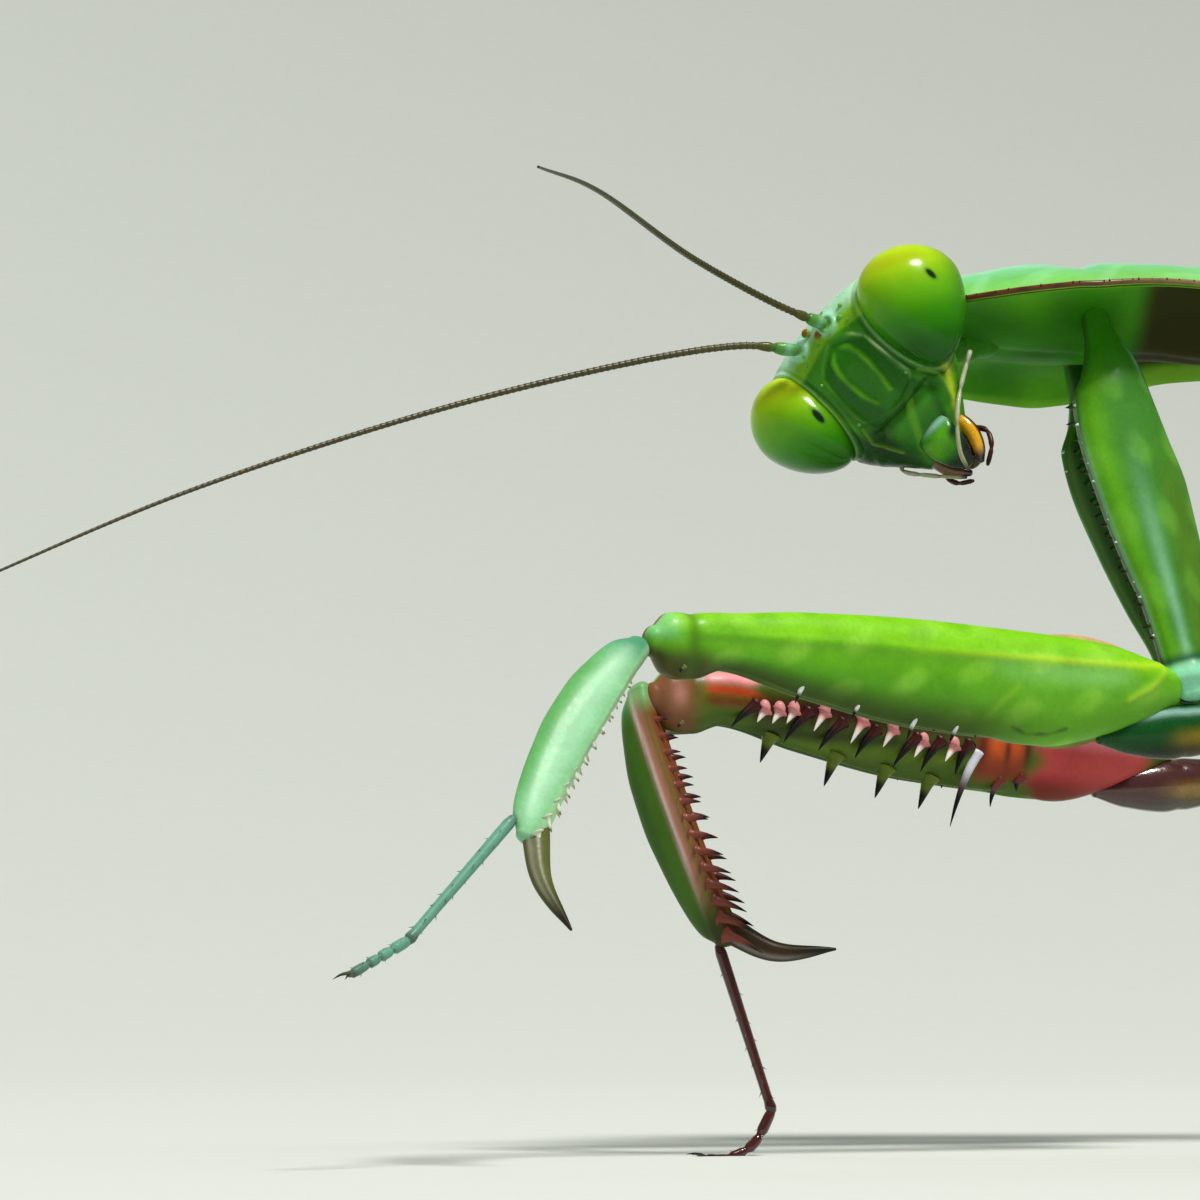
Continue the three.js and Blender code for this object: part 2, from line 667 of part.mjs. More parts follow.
// ---------------------------------------------------------------- abdomen
// Half-width, height and depth along the abdomen, and the lengths that it is divided into.
const ABDOMEN = [
  [0, 1.5, 3.1, 3.8],
  [0.12, 1.6, 3.5, 4.5],
  [0.25, 1.7, 3.7, 5.1],
  [0.4, 1.7, 3.7, 5.5],
  [0.55, 1.6, 3.5, 5.4],
  [0.7, 1.5, 3.0, 4.8],
  [0.82, 1.3, 2.5, 4.0],
  [0.92, 1.1, 2.0, 3.0],
  [1, 0.7, 1.2, 1.6],
];
const ABDOMEN_CUTS = [0, 2, 4, 6, 8];
const ABDOMEN_LENGTHS = ["front", "middle", "rear", "tip"];
const abdomenX = (share) => THREE.MathUtils.lerp(ABDOMEN_AT, ABDOMEN_END, share);

ABDOMEN_LENGTHS.forEach((name, i) => {
  const stations = ABDOMEN.slice(ABDOMEN_CUTS[i], ABDOMEN_CUTS[i + 1] + 1);
  const from = stations[0][0];
  const to = stations.at(-1)[0];
  const line = stretchOf(abdomenX(from), abdomenX(to));
  const sections = stations.map(([share, ...size]) => [(share - from) / (to - from), ...size]);
  add(rear, "abdomen_" + name, limb(line, sections, { sides: 14 }), GREEN);
});

const CERCUS = [
  [0, 0.4, 0.4, 0.45],
  [0.3, 0.36, 0.36, 0.39],
  [0.7, 0.3, 0.3, 0.31],
  [1, 0.26, 0.26, 0.25],
];
const TIP_FROM = ABDOMEN[ABDOMEN_CUTS[3]][0];
const tipSections = ABDOMEN.slice(ABDOMEN_CUTS[3]).map(([share, ...size]) => {
  return [(share - TIP_FROM) / (1 - TIP_FROM), ...size];
});
const tipLine = [vec(abdomenX(TIP_FROM), 0, 0), vec(ABDOMEN_END, 0, 0)];
const tipRoom = limb(tipLine, tipSections, { sides: 14, grow: GAP });

for (const [name, side] of Object.entries(SIDES)) {
  const root = vec(ABDOMEN_END - 1.2, side * 1.9, -0.2);
  const tip = vec(ABDOMEN_END + 3.6, side * 3.3, -0.6);
  add(rear, "cercus_" + name, meeting(limb([root, tip], CERCUS, { sides: 6 }), tipRoom), GREEN);
}

// ---------------------------------------------------------------- wings
// Each wing is a sheet between an inner and an outer edge: [station, inner, outer].
// The four lie folded in layers over the abdomen, and roof down at the sides.
const TEGMEN = [
  [2.2, 0.5, 2.6],
  [4.5, 0.25, 4.1],
  [7, -0.3, 5.2],
  [11, -1.8, 6.2],
  [18, -3.0, 7.0],
  [27, -3.4, 7.2],
  [36, -3.1, 6.6],
  [43, -2.1, 5.3],
  [48, -0.7, 3.4],
  [WING_END, 0.8, 1.6],
];
const HINDWING = [
  [9, 0.2, 4.0],
  [13, -1.4, 5.2],
  [22, -2.6, 6.3],
  [31, -2.7, 6.3],
  [39, -2.1, 5.6],
  [45, -1.0, 4.0],
  [48.5, 0.4, 1.8],
];
const LAYER = SKIN + 0.15;
const WING_SPAN = 6; // points from the inner to the outer edge
const roof = (across) => 1.75 - 2.0 * (Math.abs(across) / 8) ** 2.2;
const wingLine = (x) => roof(0) - 0.9 * THREE.MathUtils.smoothstep(x, 30, 52);

function wing(outline, side, layer) {
  const rings = outline.map(([x, inner, outer]) => {
    const lift = 0.25 + layer * LAYER * THREE.MathUtils.smoothstep(x, 3, 7);
    const edge = (k) => THREE.MathUtils.lerp(inner, outer, k / (WING_SPAN - 1));
    const height = (y) => wingLine(x) + roof(y) - roof(0) + lift;
    const under = Array.from({ length: WING_SPAN }, (_, k) => vec(x, side * edge(k), height(edge(k))));
    const upper = under.map((point) => point.clone().add(vec(0, 0, SKIN)));
    return [...under, ...upper.reverse()];
  });
  return loft(rings);
}
add(rear, "hindwing_left", wing(HINDWING, SIDES.left, 0), PALE_GREEN);
add(rear, "hindwing_right", wing(HINDWING, SIDES.right, 1), PALE_GREEN);
add(rear, "tegmen_right", meeting(wing(TEGMEN, SIDES.right, 2), mesothorax(GAP)), GREEN);
add(rear, "tegmen_left", meeting(wing(TEGMEN, SIDES.left, 3), mesothorax(GAP)), GREEN);

// ---------------------------------------------------------------- walking legs
// Where each pair joins the rear body, and how its lengths point, [turn, rise], on the right.
const WALKING = {
  mid: { hip: [3.6, 2.3, -2.6], size: MID, coxa: [-105, -58], femur: [-60, -20], toes: [-95, 8.0] },
  hind: { hip: [9.8, 2.4, -2.7], size: HIND, coxa: [-100, -58], femur: [-122, 6], toes: [-115, 9.0] },
};
const WALKING_COXA = [
  [0, 1.2, 1.1, 1.1],
  [0.4, 1.25, 1.15, 1.1],
  [0.9, 0.85, 0.85, 0.8],
  [1, 0.5, 0.5, 0.5],
];
const WALKING_FEMUR = [
  [0, 0.5, 0.5, 0.45],
  [0.08, 0.75, 0.75, 0.6],
  [0.35, 0.8, 0.8, 0.62],
  [0.9, 0.5, 0.5, 0.42],
  [0.97, 0.62, 0.62, 0.5],
  [1, 0.35, 0.35, 0.3],
];
const WALKING_TIBIA = [
  [0, 0.35, 0.35, 0.32],
  [0.04, 0.45, 0.45, 0.4],
  [0.5, 0.36, 0.36, 0.34],
  [0.96, 0.4, 0.4, 0.36],
  [1, 0.28, 0.28, 0.28],
];
const SHIN_TURN = { mid: -118, hind: -128 };
const rearRoom = [mesothorax(GAP), metathorax(GAP)].map((room) => seenFrom(rear, room));

for (const [pair, plan] of Object.entries(WALKING)) {
  for (const [name, side] of Object.entries(SIDES)) {
    const turned = ([turn, rise]) => [side * turn, rise];
    const [hx, hy, hz] = plan.hip;
    const hip = pointIn(rear, hx, side * hy, hz);
    const coxaEnd = reach(hip, plan.size.coxa, ...turned(plan.coxa));
    const knee = reach(coxaEnd, plan.size.femur, ...turned(plan.femur));
    const ankleHeight = FLOOR + TOE_RADIUS - 0.03;
    const fall = THREE.MathUtils.radToDeg(Math.asin((knee.z - ankleHeight) / plan.size.tibia));
    const ankle = reach(knee, plan.size.tibia, side * SHIN_TURN[pair], -fall);
    const [toeTurn, toeLength] = plan.toes;
    const toeTip = reach(ankle, toeLength, side * toeTurn, 0);

    const coxaUp = vec(-1, 0, 0.3);
    const coxaShape = (grow) => limb([hip, coxaEnd], WALKING_COXA, { up: coxaUp, sides: 8, grow });
    const femurShape = (grow) => limb([coxaEnd, knee], WALKING_FEMUR, { sides: 8, grow });
    const tibiaShape = (grow) => limb([knee, ankle], WALKING_TIBIA, { sides: 6, grow });
    add(mantis, `${pair}_${name}_coxa`, meeting(coxaShape(0), ...rearRoom), GREEN);
    add(mantis, `${pair}_${name}_femur`, meeting(femurShape(0), coxaShape(GAP)), GREEN);
    add(mantis, `${pair}_${name}_tibia`, aboveFloor(meeting(tibiaShape(0), femurShape(GAP))), GREEN);

    const toes = limb([ankle, toeTip], even(5, TOE_RADIUS), { sides: 8 });
    add(mantis, `${pair}_${name}_tarsus`, aboveFloor(meeting(toes, tibiaShape(GAP))), GREEN);
  }
}

mantis.position.set(-HOME.x, -HOME.y, -HOME.z);
const part = new THREE.Group();
part.add(mantis);

export default part;
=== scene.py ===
"""A shield mantis dressed for display: every hard part of the animal as a fine mesh with its own finish."""

import math
from types import SimpleNamespace

import bpy
import numpy as np
from mathutils import Matrix


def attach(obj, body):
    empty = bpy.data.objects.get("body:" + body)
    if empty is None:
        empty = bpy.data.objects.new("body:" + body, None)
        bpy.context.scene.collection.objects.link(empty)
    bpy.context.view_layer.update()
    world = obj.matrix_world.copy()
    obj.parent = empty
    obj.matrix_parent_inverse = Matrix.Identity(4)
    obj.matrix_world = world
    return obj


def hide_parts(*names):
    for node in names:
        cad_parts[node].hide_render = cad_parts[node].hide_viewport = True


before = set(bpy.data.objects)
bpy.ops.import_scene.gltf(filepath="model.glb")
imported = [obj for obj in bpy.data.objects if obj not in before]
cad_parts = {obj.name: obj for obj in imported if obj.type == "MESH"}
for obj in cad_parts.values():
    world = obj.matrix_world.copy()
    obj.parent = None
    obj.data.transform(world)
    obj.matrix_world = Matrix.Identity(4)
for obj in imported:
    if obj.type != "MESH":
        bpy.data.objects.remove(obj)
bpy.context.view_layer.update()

# ---------------------------------------------------------------- driving dimensions, in millimetres
# The animal's own datum is the middle of the pronotum; HOME is the frame's origin seen from it.
HOME = np.array([14.27, 0.167, -29.5])
FLOOR = HOME[2]
METRES = 0.001

PROTHORAX_ROLL = -17
HEAD = {"at": (-9.41, -4.6, -1.07), "roll": -45, "pitch": -6, "yaw": 62}
# An eye is an egg: its blunt end up and outwards, its narrow end towards the mouth.
EYE = {"at": (-0.24, 3.28, 0.28), "deep": 1.9, "wide": 1.55, "above": 1.55, "below": 3.08, "narrowing": 0.27}
EYE_TURN = {"lean": 17, "pitch": 19, "turn": 41}
EYE_SIZE = {"left": 1.035, "right": 0.965}
MOUTH_TURN = -0.3  # the mouthparts are drawn to the left
REAR = {"at": (20.1, 0, -0.3), "roll": -6, "droop": 12}
METATHORAX_AT = 7.5
ABDOMEN_AT = 13
ABDOMEN_END = 46.5
FORE = {"coxa": 14.6, "femur": 20.8, "tibia": 9.5, "claw": 3.8, "basitarsus": 6.1}
SIDES = {"left": -1, "right": 1}
UP = np.array([0.0, 0.0, 1.0])


# ---------------------------------------------------------------- numbers and shapes
def unit(vector):
    vector = np.asarray(vector, float)
    return vector / np.linalg.norm(vector, axis=-1, keepdims=True)


def heading(turn, rise):
    """A unit vector: `turn` degrees from straight ahead towards the animal's left, then `rise`."""
    turn, rise = math.radians(turn), math.radians(rise)
    level = math.cos(rise)
    return np.array([-math.cos(turn) * level, -math.sin(turn) * level, math.sin(rise)])


def rotation(*turns):
    """A rotation made of turns in degrees, each about its axis, one after another."""
    matrix = np.eye(3)
    for angle, axis in turns:
        matrix = matrix @ np.array(Matrix.Rotation(math.radians(angle), 3, axis))
    return matrix


class Frame:
    """A part's own axes: x backwards, y to its right, z up, turned by roll, pitch and yaw."""

    def __init__(self, at=(0, 0, 0), roll=0, pitch=0, yaw=0):
        self.at = np.asarray(at, float)
        self.turn = rotation((yaw, "Z"), (pitch, "Y"), (roll, "X"))

    def out(self, points):
        return np.asarray(points, float) @ self.turn.T + self.at


DATUM = Frame()
PROTHORAX = Frame(roll=PROTHORAX_ROLL)
HEAD_FRAME = Frame(**HEAD)
REAR_FRAME = Frame(REAR["at"], REAR["roll"], REAR["droop"], 0)


def smooth(low, high, x):
    """0 below low, 1 above high, and a soft step between; it runs down where high is the lower."""
    t = np.clip((np.asarray(x, float) - low) / (high - low), 0, 1)
    return t * t * (3 - 2 * t)


def bell(x, centre, width):
    return np.exp(-(((np.asarray(x, float) - centre) / width) ** 2))


def cubic(values, lean, i, h, t):
    """The smooth curve through the values i and i + 1, h apart, at the share t of the way between them."""
    return (
        values[i] * (1 + 2 * t) * (1 - t) ** 2
        + lean[i] * h * t * (1 - t) ** 2
        + values[i + 1] * t * t * (3 - 2 * t)
        + lean[i + 1] * h * t * t * (t - 1)
    )


def through(table, x):
    """A table's row at x, on a smooth curve that never overshoots its rows. Its first column is x."""
    table = np.asarray(table, float)
    stations, values = table[:, 0], table[:, 1:]
    step = np.diff(stations)[:, None]
    slope = np.diff(values, axis=0) / step
    lean = np.zeros_like(values)
    before, after = 2 * step[1:] + step[:-1], step[1:] + 2 * step[:-1]
    same = slope[1:] * slope[:-1] > 0
    safe = lambda a: np.where(same, a, 1)
    mean = (before + after) / (before / safe(slope[:-1]) + after / safe(slope[1:]))
    lean[1:-1] = np.where(same, mean, 0)
    lean[0], lean[-1] = slope[0], slope[-1]
    i = np.clip(np.searchsorted(stations, x, side="right") - 1, 0, len(stations) - 2)
    t = ((np.asarray(x, float) - stations[i]) / step[i, 0])[:, None]
    return cubic(values, lean, i, step[i], t)


def sweep(points, share):
    """Places and directions at shares of the way along a smooth curve through the points."""
    points = np.asarray(points, float)
    if len(points) > 2:
        knots = np.concatenate([[0], np.cumsum(np.sqrt(np.linalg.norm(np.diff(points, axis=0), axis=1)))])
        points = spline(knots, points, np.linspace(0, knots[-1], 400))
    length = np.concatenate([[0], np.cumsum(np.linalg.norm(np.diff(points, axis=0), axis=1))])
    at = np.clip(np.asarray(share, float), 0, 1) * length[-1]
    near = 0.004 * length[-1]

    def place(along):
        along = np.clip(along, 0, length[-1])
        return np.stack([np.interp(along, length, points[:, k]) for k in range(3)], axis=-1)

    return place(at), unit(place(at + near) - place(at - near)), length[-1]


def spline(knots, points, x):
    """A run of cubic pieces through the points, each leaning as its point's two neighbours lie."""
    i = np.clip(np.searchsorted(knots, x, side="right") - 1, 0, len(knots) - 2)
    h = (knots[i + 1] - knots[i])[:, None]
    return cubic(points, np.gradient(points, knots, axis=0), i, h, ((x - knots[i]) / h[:, 0])[:, None])


def from_line(x, y, corners):
    """The distance from (x, y) to a run of straight strokes."""
    corners = np.asarray(corners, float)
    x, y = np.broadcast_arrays(np.asarray(x, float), np.asarray(y, float))
    nearest = np.full(x.shape, np.inf)
    for (x0, y0), (x1, y1) in zip(corners[:-1], corners[1:]):
        dx, dy = x1 - x0, y1 - y0
        t = np.clip(((x - x0) * dx + (y - y0) * dy) / (dx * dx + dy * dy), 0, 1)
        nearest = np.minimum(nearest, np.hypot(x - x0 - t * dx, y - y0 - t * dy))
    return nearest


def stroke(x, y, corners, width):
    return np.exp(-((from_line(x, y, corners) / width) ** 2))


# ---------------------------------------------------------------- colours
def srgb(colour):
    """A colour written 0xRRGGBB as on a screen, in the light's own scale. An array has it already."""
    if isinstance(colour, np.ndarray):
        return colour
    value = np.array([colour >> 16, colour >> 8 & 255, colour & 255], float) / 255
    return np.where(value <= 0.04045, value / 12.92, ((value + 0.055) / 1.055) ** 2.4)


LEAF = 0x5C9E2C
FRESH = 0x84C432
LIME = 0xB0D628
MINT = 0x8CD08C
TEAL = 0x2C785A
FOREST = 0x225C16
OLIVE = 0x60641E
YELLOW = 0xD8D63C
STRAW = 0xCEC082
BROWN = 0x60321A
DARK_BROWN = 0x2C140C
BLACK = 0x0A0808
BONE = 0xE8ECE0
WHITE = 0xF6F8F6


def paint(base, *layers):
    """A base colour with each layer's colour laid over it as thickly as its mask says."""
    base = srgb(base)
    shape = np.broadcast_shapes(base.shape[:-1], *(np.shape(mask) for _, mask in layers))
    colour = np.broadcast_to(base, shape + (3,)).copy()
    for over, mask in layers:
        mask = np.broadcast_to(np.asarray(mask, float), shape)[..., None]
        colour += (srgb(over) - colour) * np.clip(mask, 0, 1)
    return colour


# ---------------------------------------------------------------- meshes
class Skin:
    """One visible piece: closed surfaces gathered into a mesh with a colour at each vertex."""

    def __init__(self, name, look, slot, frame_of=DATUM):
        self.name, self.look, self.slot, self.frame_of = name, look, slot, frame_of
        self.points, self.tints, self.faces, self.count = [], [], [], 0

    def rings(self, rings, tint, first=None, last=None):
        """A closed tube over rings of equally many points, shut by a pole at each end."""
        rings = np.asarray(rings, float)
        n, m = rings.shape[:2]
        tint = np.broadcast_to(tint, (n, m, 3))
        first = rings[0].mean(axis=0) if first is None else np.asarray(first, float)
        last = rings[-1].mean(axis=0) if last is None else np.asarray(last, float)
        i, j = np.meshgrid(np.arange(n - 1), np.arange(m), indexing="ij")
        k = (j + 1) % m
        quads = np.stack([i * m + j, i * m + k, (i + 1) * m + k, (i + 1) * m + j], axis=-1).reshape(-1, 4)
        j = np.arange(m)
        k = (j + 1) % m
        start, end = n * m, n * m + 1
        base = (n - 1) * m
        fans = np.concatenate([
            np.stack([np.full(m, start), k, j], axis=-1),
            np.stack([np.full(m, end), base + j, base + k], axis=-1),
        ])
        points = np.concatenate([rings.reshape(-1, 3), [first, last]])
        tints = np.concatenate([tint.reshape(-1, 3), [tint[0].mean(axis=0), tint[-1].mean(axis=0)]])
        self.add(points, tints, quads, fans)

    def add(self, points, tints, quads, fans):
        """A closed surface, turned inside out first if its faces look inwards."""
        points = self.frame_of.out(points)
        a, b, c, d = (points[quads[:, k]] for k in range(4))
        volume = np.einsum("ij,ij->", a, np.cross(b, c)) + np.einsum("ij,ij->", a, np.cross(c, d))
        a, b, c = (points[fans[:, k]] for k in range(3))
        volume += np.einsum("ij,ij->", a, np.cross(b, c))
        if volume < 0:
            quads, fans = quads[:, ::-1], fans[:, ::-1]
        self.faces += (quads + self.count).tolist() + (fans + self.count).tolist()
        self.points.append(points)
        self.tints.append(tints)
        self.count += len(points)

    def make(self):
        mesh = bpy.data.meshes.new(self.name)
        points = np.concatenate(self.points)
        points[:, 2] = np.maximum(points[:, 2], FLOOR)
        points = (points - HOME) * METRES
        mesh.from_pydata(points.tolist(), [], self.faces)
        colour = mesh.color_attributes.new("tint", "FLOAT_COLOR", "POINT")
        tints = np.concatenate(self.tints)
        tints = np.column_stack([tints, np.ones(len(tints))]).astype(np.float32)
        colour.data.foreach_set("color", tints.ravel())
        mesh.shade_smooth()
        mesh.materials.append(FINISHES[self.look])
        piece = bpy.data.objects.new("skin_" + self.name, mesh)
        bpy.context.scene.collection.objects.link(piece)
        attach(piece, "root")
        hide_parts(self.name)


def around(count):
    """Angles round a limb: 0 is its outer side, a quarter turn its back, and so on."""
    return np.linspace(0, 2 * math.pi, count, endpoint=False)[None, :]


CAP_RINGS = 7  # in each round end of a limb
BLUNT = 0.04  # share of a spine's radius that is left at its tip


def limb(skin, path, table, tint, up=UP, out=None, relief=None, rings=90, sides=56, ends=(0.7, 0.7), box=1.0):
    """A limb along a path. Each row of the table is [share, rise, drop, half-width].

    `tint` and `relief` are given the place on its surface: share of the way, angle, distance
    along, height above the middle line and distance out from it, all in millimetres.
    """
    share = np.linspace(0, 1, rings)
    places, along, length = sweep(path, share)
    sizes = through(table, share)
    up = np.asarray(up, float)
    side = unit(np.cross(along, up))
    if out is not None:
        side = side * np.sign(side @ np.asarray(out, float))[:, None]
    top = unit(up - along * (along @ up)[:, None])

    # Rings that shrink towards a pole round off each end.
    lap = np.linspace(0, math.pi / 2, CAP_RINGS + 1)[1:-1]
    back, ahead = -ends[0] * sizes[0].mean(), ends[1] * sizes[-1].mean()
    first, last = places[0] + along[0] * back, places[-1] + along[-1] * ahead
    shrink = np.concatenate([np.sin(lap), np.ones(rings), np.sin(lap[::-1])])[:, None]
    slide = np.concatenate([back * np.cos(lap), np.zeros(rings), ahead * np.cos(lap[::-1])])[:, None]
    row = np.clip(np.arange(len(shrink)) - len(lap), 0, rings - 1)
    centre, size, side, top = places[row] + along[row] * slide, sizes[row] * shrink, side[row], top[row]

    angle = around(sides)
    sin, cos = (np.sign(v) * np.abs(v) ** box for v in (np.sin(angle), np.cos(angle)))
    tall = np.where(np.sin(angle) > 0, size[:, :1], size[:, 1:2])
    wide = size[:, 2:3]
    high, lateral = sin * tall, cos * wide
    share, angle = (np.broadcast_to(v, high.shape) for v in (share[row, None], angle))
    at = SimpleNamespace(share=share, angle=angle, far=share * length, high=high, out=lateral, tall=tall)
    if relief is not None:
        raised = relief(at)
        flat = np.maximum(np.minimum(tall, wide), 1e-6)
        normal = [lateral / np.maximum(wide, 1e-6) ** 2, high / np.maximum(tall, 1e-6) ** 2]
        across = unit(np.stack(normal, axis=-1) + 1e-9)
        fade = np.clip(flat / flat.max(), 0, 1) ** 0.5
        lateral = lateral + across[..., 0] * raised * fade
        high = high + across[..., 1] * raised * fade
    rings_at = centre[:, None] + top[:, None] * high[..., None] + side[:, None] * lateral[..., None]
    skin.rings(rings_at, np.broadcast_to(tint(at), high.shape + (3,)), first, last)


def round_table(*sizes):
    """A limb's table for round sections: [share, radius]."""
    return [[share, radius, radius, radius] for share, radius in sizes]


def sheet(skin, x, y, upper, lower, tint_top, tint_bottom):
    """A closed sheet between an upper and a lower face over the places (x, y)."""
    top, bottom = (np.stack(np.broadcast_arrays(x, y, z), axis=-1) for z in (upper, lower))
    tints = [np.broadcast_to(tint, top.shape) for tint in (tint_top, tint_bottom)]
    skin.rings(np.concatenate([top, bottom[:, ::-1]], axis=1),
               np.concatenate([tints[0], tints[1][:, ::-1]], axis=1))


def thorn(skin, root, tip, radius, tint, curve=(0, 0, 0), flare=0.5, rings=16, sides=14):
    """A spine from its root to its tip, flared where it grows from the skin. `curve` bows its middle."""
    root, tip = np.asarray(root, float), np.asarray(tip, float)
    t = np.linspace(0, 1, rings)[:, None]
    middle = root + (tip - root) * t + np.asarray(curve, float) * np.sin(np.pi * t)
    along = unit(np.gradient(middle, axis=0))
    aside = np.array([0.31, 0.52, 0.79])
    side = unit(np.cross(along, aside))
    top = np.cross(side, along)
    size = radius * ((1 - t) ** 0.85 * (1 - BLUNT) + BLUNT) * (1 + flare * np.exp(-t / 0.09))
    angle = around(sides)
    rings_at = middle[:, None] + size[..., None] * (
        side[:, None] * np.cos(angle)[..., None] + top[:, None] * np.sin(angle)[..., None]
    )
    colour = tint(t) if callable(tint) else paint(tint)
    colour = np.broadcast_to(np.asarray(colour).reshape(-1, 1, 3), (rings, sides, 3))
    skin.rings(rings_at, colour, root - along[0] * radius * 0.4, tip + along[-1] * radius * BLUNT)


def ball(skin, centre, size, tint, rings=14, sides=20, axis=UP):
    """A rounded bead, whose long way is its axis."""
    size = np.broadcast_to(np.asarray(size, float), 3)
    pole = unit(axis)
    side = unit(np.cross(pole, [0.36, 0.48, 0.8]))
    top = np.cross(pole, side)
    lat = np.linspace(0, math.pi, rings + 2)[1:-1, None]
    angle = around(sides)
    z, r = np.cos(lat), np.sin(lat)
    at = (
        side * (r * np.cos(angle) * size[0])[..., None]
        + top * (r * np.sin(angle) * size[1])[..., None]
        + pole * (z * size[2] + 0 * angle)[..., None]
    )
    colour = tint(z + 0 * angle) if callable(tint) else paint(tint)
    centre, tip = np.asarray(centre, float), pole * size[2]
    skin.rings(at + centre, np.broadcast_to(colour, at.shape), centre + tip, centre - tip)


# ---------------------------------------------------------------- finishes
class Nodes:
    """A material's node tree with short ways to add and join nodes."""

    def __init__(self, name):
        self.material = bpy.data.materials.new(name)
        self.material.use_nodes = True
        self.tree = self.material.node_tree
        self.shader = self.tree.nodes["Principled BSDF"]

    def node(self, kind, inputs=None, **settings):
        made = self.tree.nodes.new(kind)
        for key, value in settings.items():
            setattr(made, key, value)
        for key, value in (inputs or {}).items():
            self.feed(made.inputs[key], value)
        return made

    def feed(self, socket, value):
        """Joins another node's output to a socket, or sets the socket's own value."""
        if isinstance(value, bpy.types.NodeSocket):
            self.tree.links.new(value, socket)
        else:
            socket.default_value = value

    def noise(self, place, scale, detail=4.0, rough=0.55, distort=0.0):
        inputs = {"Vector": place, "Scale": scale, "Detail": detail, "Roughness": rough}
        return self.node("ShaderNodeTexNoise", inputs | {"Distortion": distort}).outputs["Fac"]

    def span(self, value, low, high, to_low, to_high):
        inputs = {"Value": value, "From Min": low, "From Max": high, "To Min": to_low, "To Max": to_high}
        return self.node("ShaderNodeMapRange", inputs).outputs["Result"]

    def mix(self, a, b, factor, blend="MIX"):
        made = self.node("ShaderNodeMix", data_type="RGBA", blend_type=blend)
        for key, value in ((0, factor), (6, a), (7, b)):
            self.feed(made.inputs[key], (*value, 1) if isinstance(value, tuple) else value)
        return made.outputs[2]

    def bump(self, height, strength, distance, under=None):
        inputs = {"Height": height, "Strength": strength, "Distance": distance}
        if under is not None:
            inputs["Normal"] = under
        return self.node("ShaderNodeBump", inputs).outputs["Normal"]

    def set(self, **values):
        for key, value in values.items():
            self.feed(self.shader.inputs[key.replace("_", " ")], value)


def finish(name, mottle=0.16, mottle_scale=900, grain=0.1, rough=(0.3, 0.46), pits=0.5, pit_scale=9000,
           subsurface=0.12, depth=0.0004, coat=0.25, coat_rough=0.2, spec=0.35, wave=0.3):
    """A cuticle's finish: the painted tint, mottled and grained, over a finely pitted surface."""
    n = Nodes(name + "_finish")
    place = n.node("ShaderNodeTexCoord").outputs["Object"]
    tint = n.node("ShaderNodeAttribute", attribute_name="tint").outputs["Color"]
    broad = n.noise(place, mottle_scale, 5.0, 0.6, 0.4)
    fine = n.noise(place, mottle_scale * 7, 3.0, 0.5)
    shade = n.span(broad, 0.3, 0.7, 1 - mottle, 1 + mottle)
    speck = n.span(fine, 0.35, 0.65, 1 - grain, 1 + grain)
    both = n.node("ShaderNodeMath", {0: shade, 1: speck}, operation="MULTIPLY").outputs[0]
    light = n.node("ShaderNodeCombineColor", {0: both, 1: both, 2: both}).outputs[0]
    colour = n.mix(tint, light, 1.0, "MULTIPLY")
    dimple = n.bump(n.noise(place, pit_scale, 1.0), pits, PIT_DEPTH)
    swell = n.bump(broad, wave, WAVE_DEPTH, dimple)
    n.set(Base_Color=colour, Roughness=n.span(fine, 0.3, 0.7, *rough), Normal=swell, Specular_IOR_Level=spec,
          Subsurface_Weight=subsurface, Subsurface_Scale=depth, Subsurface_Radius=SUBSURFACE_SPREAD,
          Coat_Weight=coat, Coat_Roughness=coat_rough)
    return n.material


PIT_DEPTH, WAVE_DEPTH = 0.00002, 0.00006  # metres
SUBSURFACE_SPREAD = (0.7, 1.0, 0.35)  # green light goes furthest
LOOKS = {
    "cuticle": dict(mottle=0.1, grain=0.04, rough=(0.34, 0.46), pits=0.2, subsurface=0.1, coat=0.06,
                    coat_rough=0.16, spec=0.2, wave=0.2),
    "underside": dict(mottle_scale=420, grain=0.05, rough=(0.5, 0.65), pits=0.2, subsurface=0.05, coat=0.0,
                      spec=0.1),
    "face": dict(mottle=0.1, mottle_scale=1500, grain=0.03, rough=(0.24, 0.36), pits=0.15, coat=0.12,
                 coat_rough=0.08, spec=0.15),
    "shield": dict(mottle=0.08, mottle_scale=500, grain=0.04, rough=(0.3, 0.45), pits=0.25, coat=0.12,
                   coat_rough=0.18, spec=0.3, wave=0.25),
    "eye": dict(mottle=0.05, mottle_scale=400, grain=0.02, rough=(0.16, 0.24), pits=0.1, pit_scale=22000,
                subsurface=0.2, depth=0.0008, coat=0.13, coat_rough=0.05, spec=0.15, wave=0.0),
    "antenna": dict(mottle=0.2, mottle_scale=2500, rough=(0.4, 0.6), pits=0.6, subsurface=0.0),
    "horn": dict(mottle=0.15, mottle_scale=2000, rough=(0.14, 0.26), pits=0.2, coat=0.6, coat_rough=0.08,
                 spec=0.4, subsurface=0.05),
    "membrane": dict(mottle=0.2, mottle_scale=1200, rough=(0.4, 0.6), coat=0.0, spec=0.15),
    "wing_green": dict(mottle=0.1, mottle_scale=700, grain=0.05, rough=(0.35, 0.5), pit_scale=4500,
                       coat=0.15),
    "wing_clear": dict(mottle=0.1, rough=(0.2, 0.35), pits=0.4, pit_scale=3500, coat=0.4),
}
FINISHES = {look: finish(look, **settings) for look, settings in LOOKS.items()}


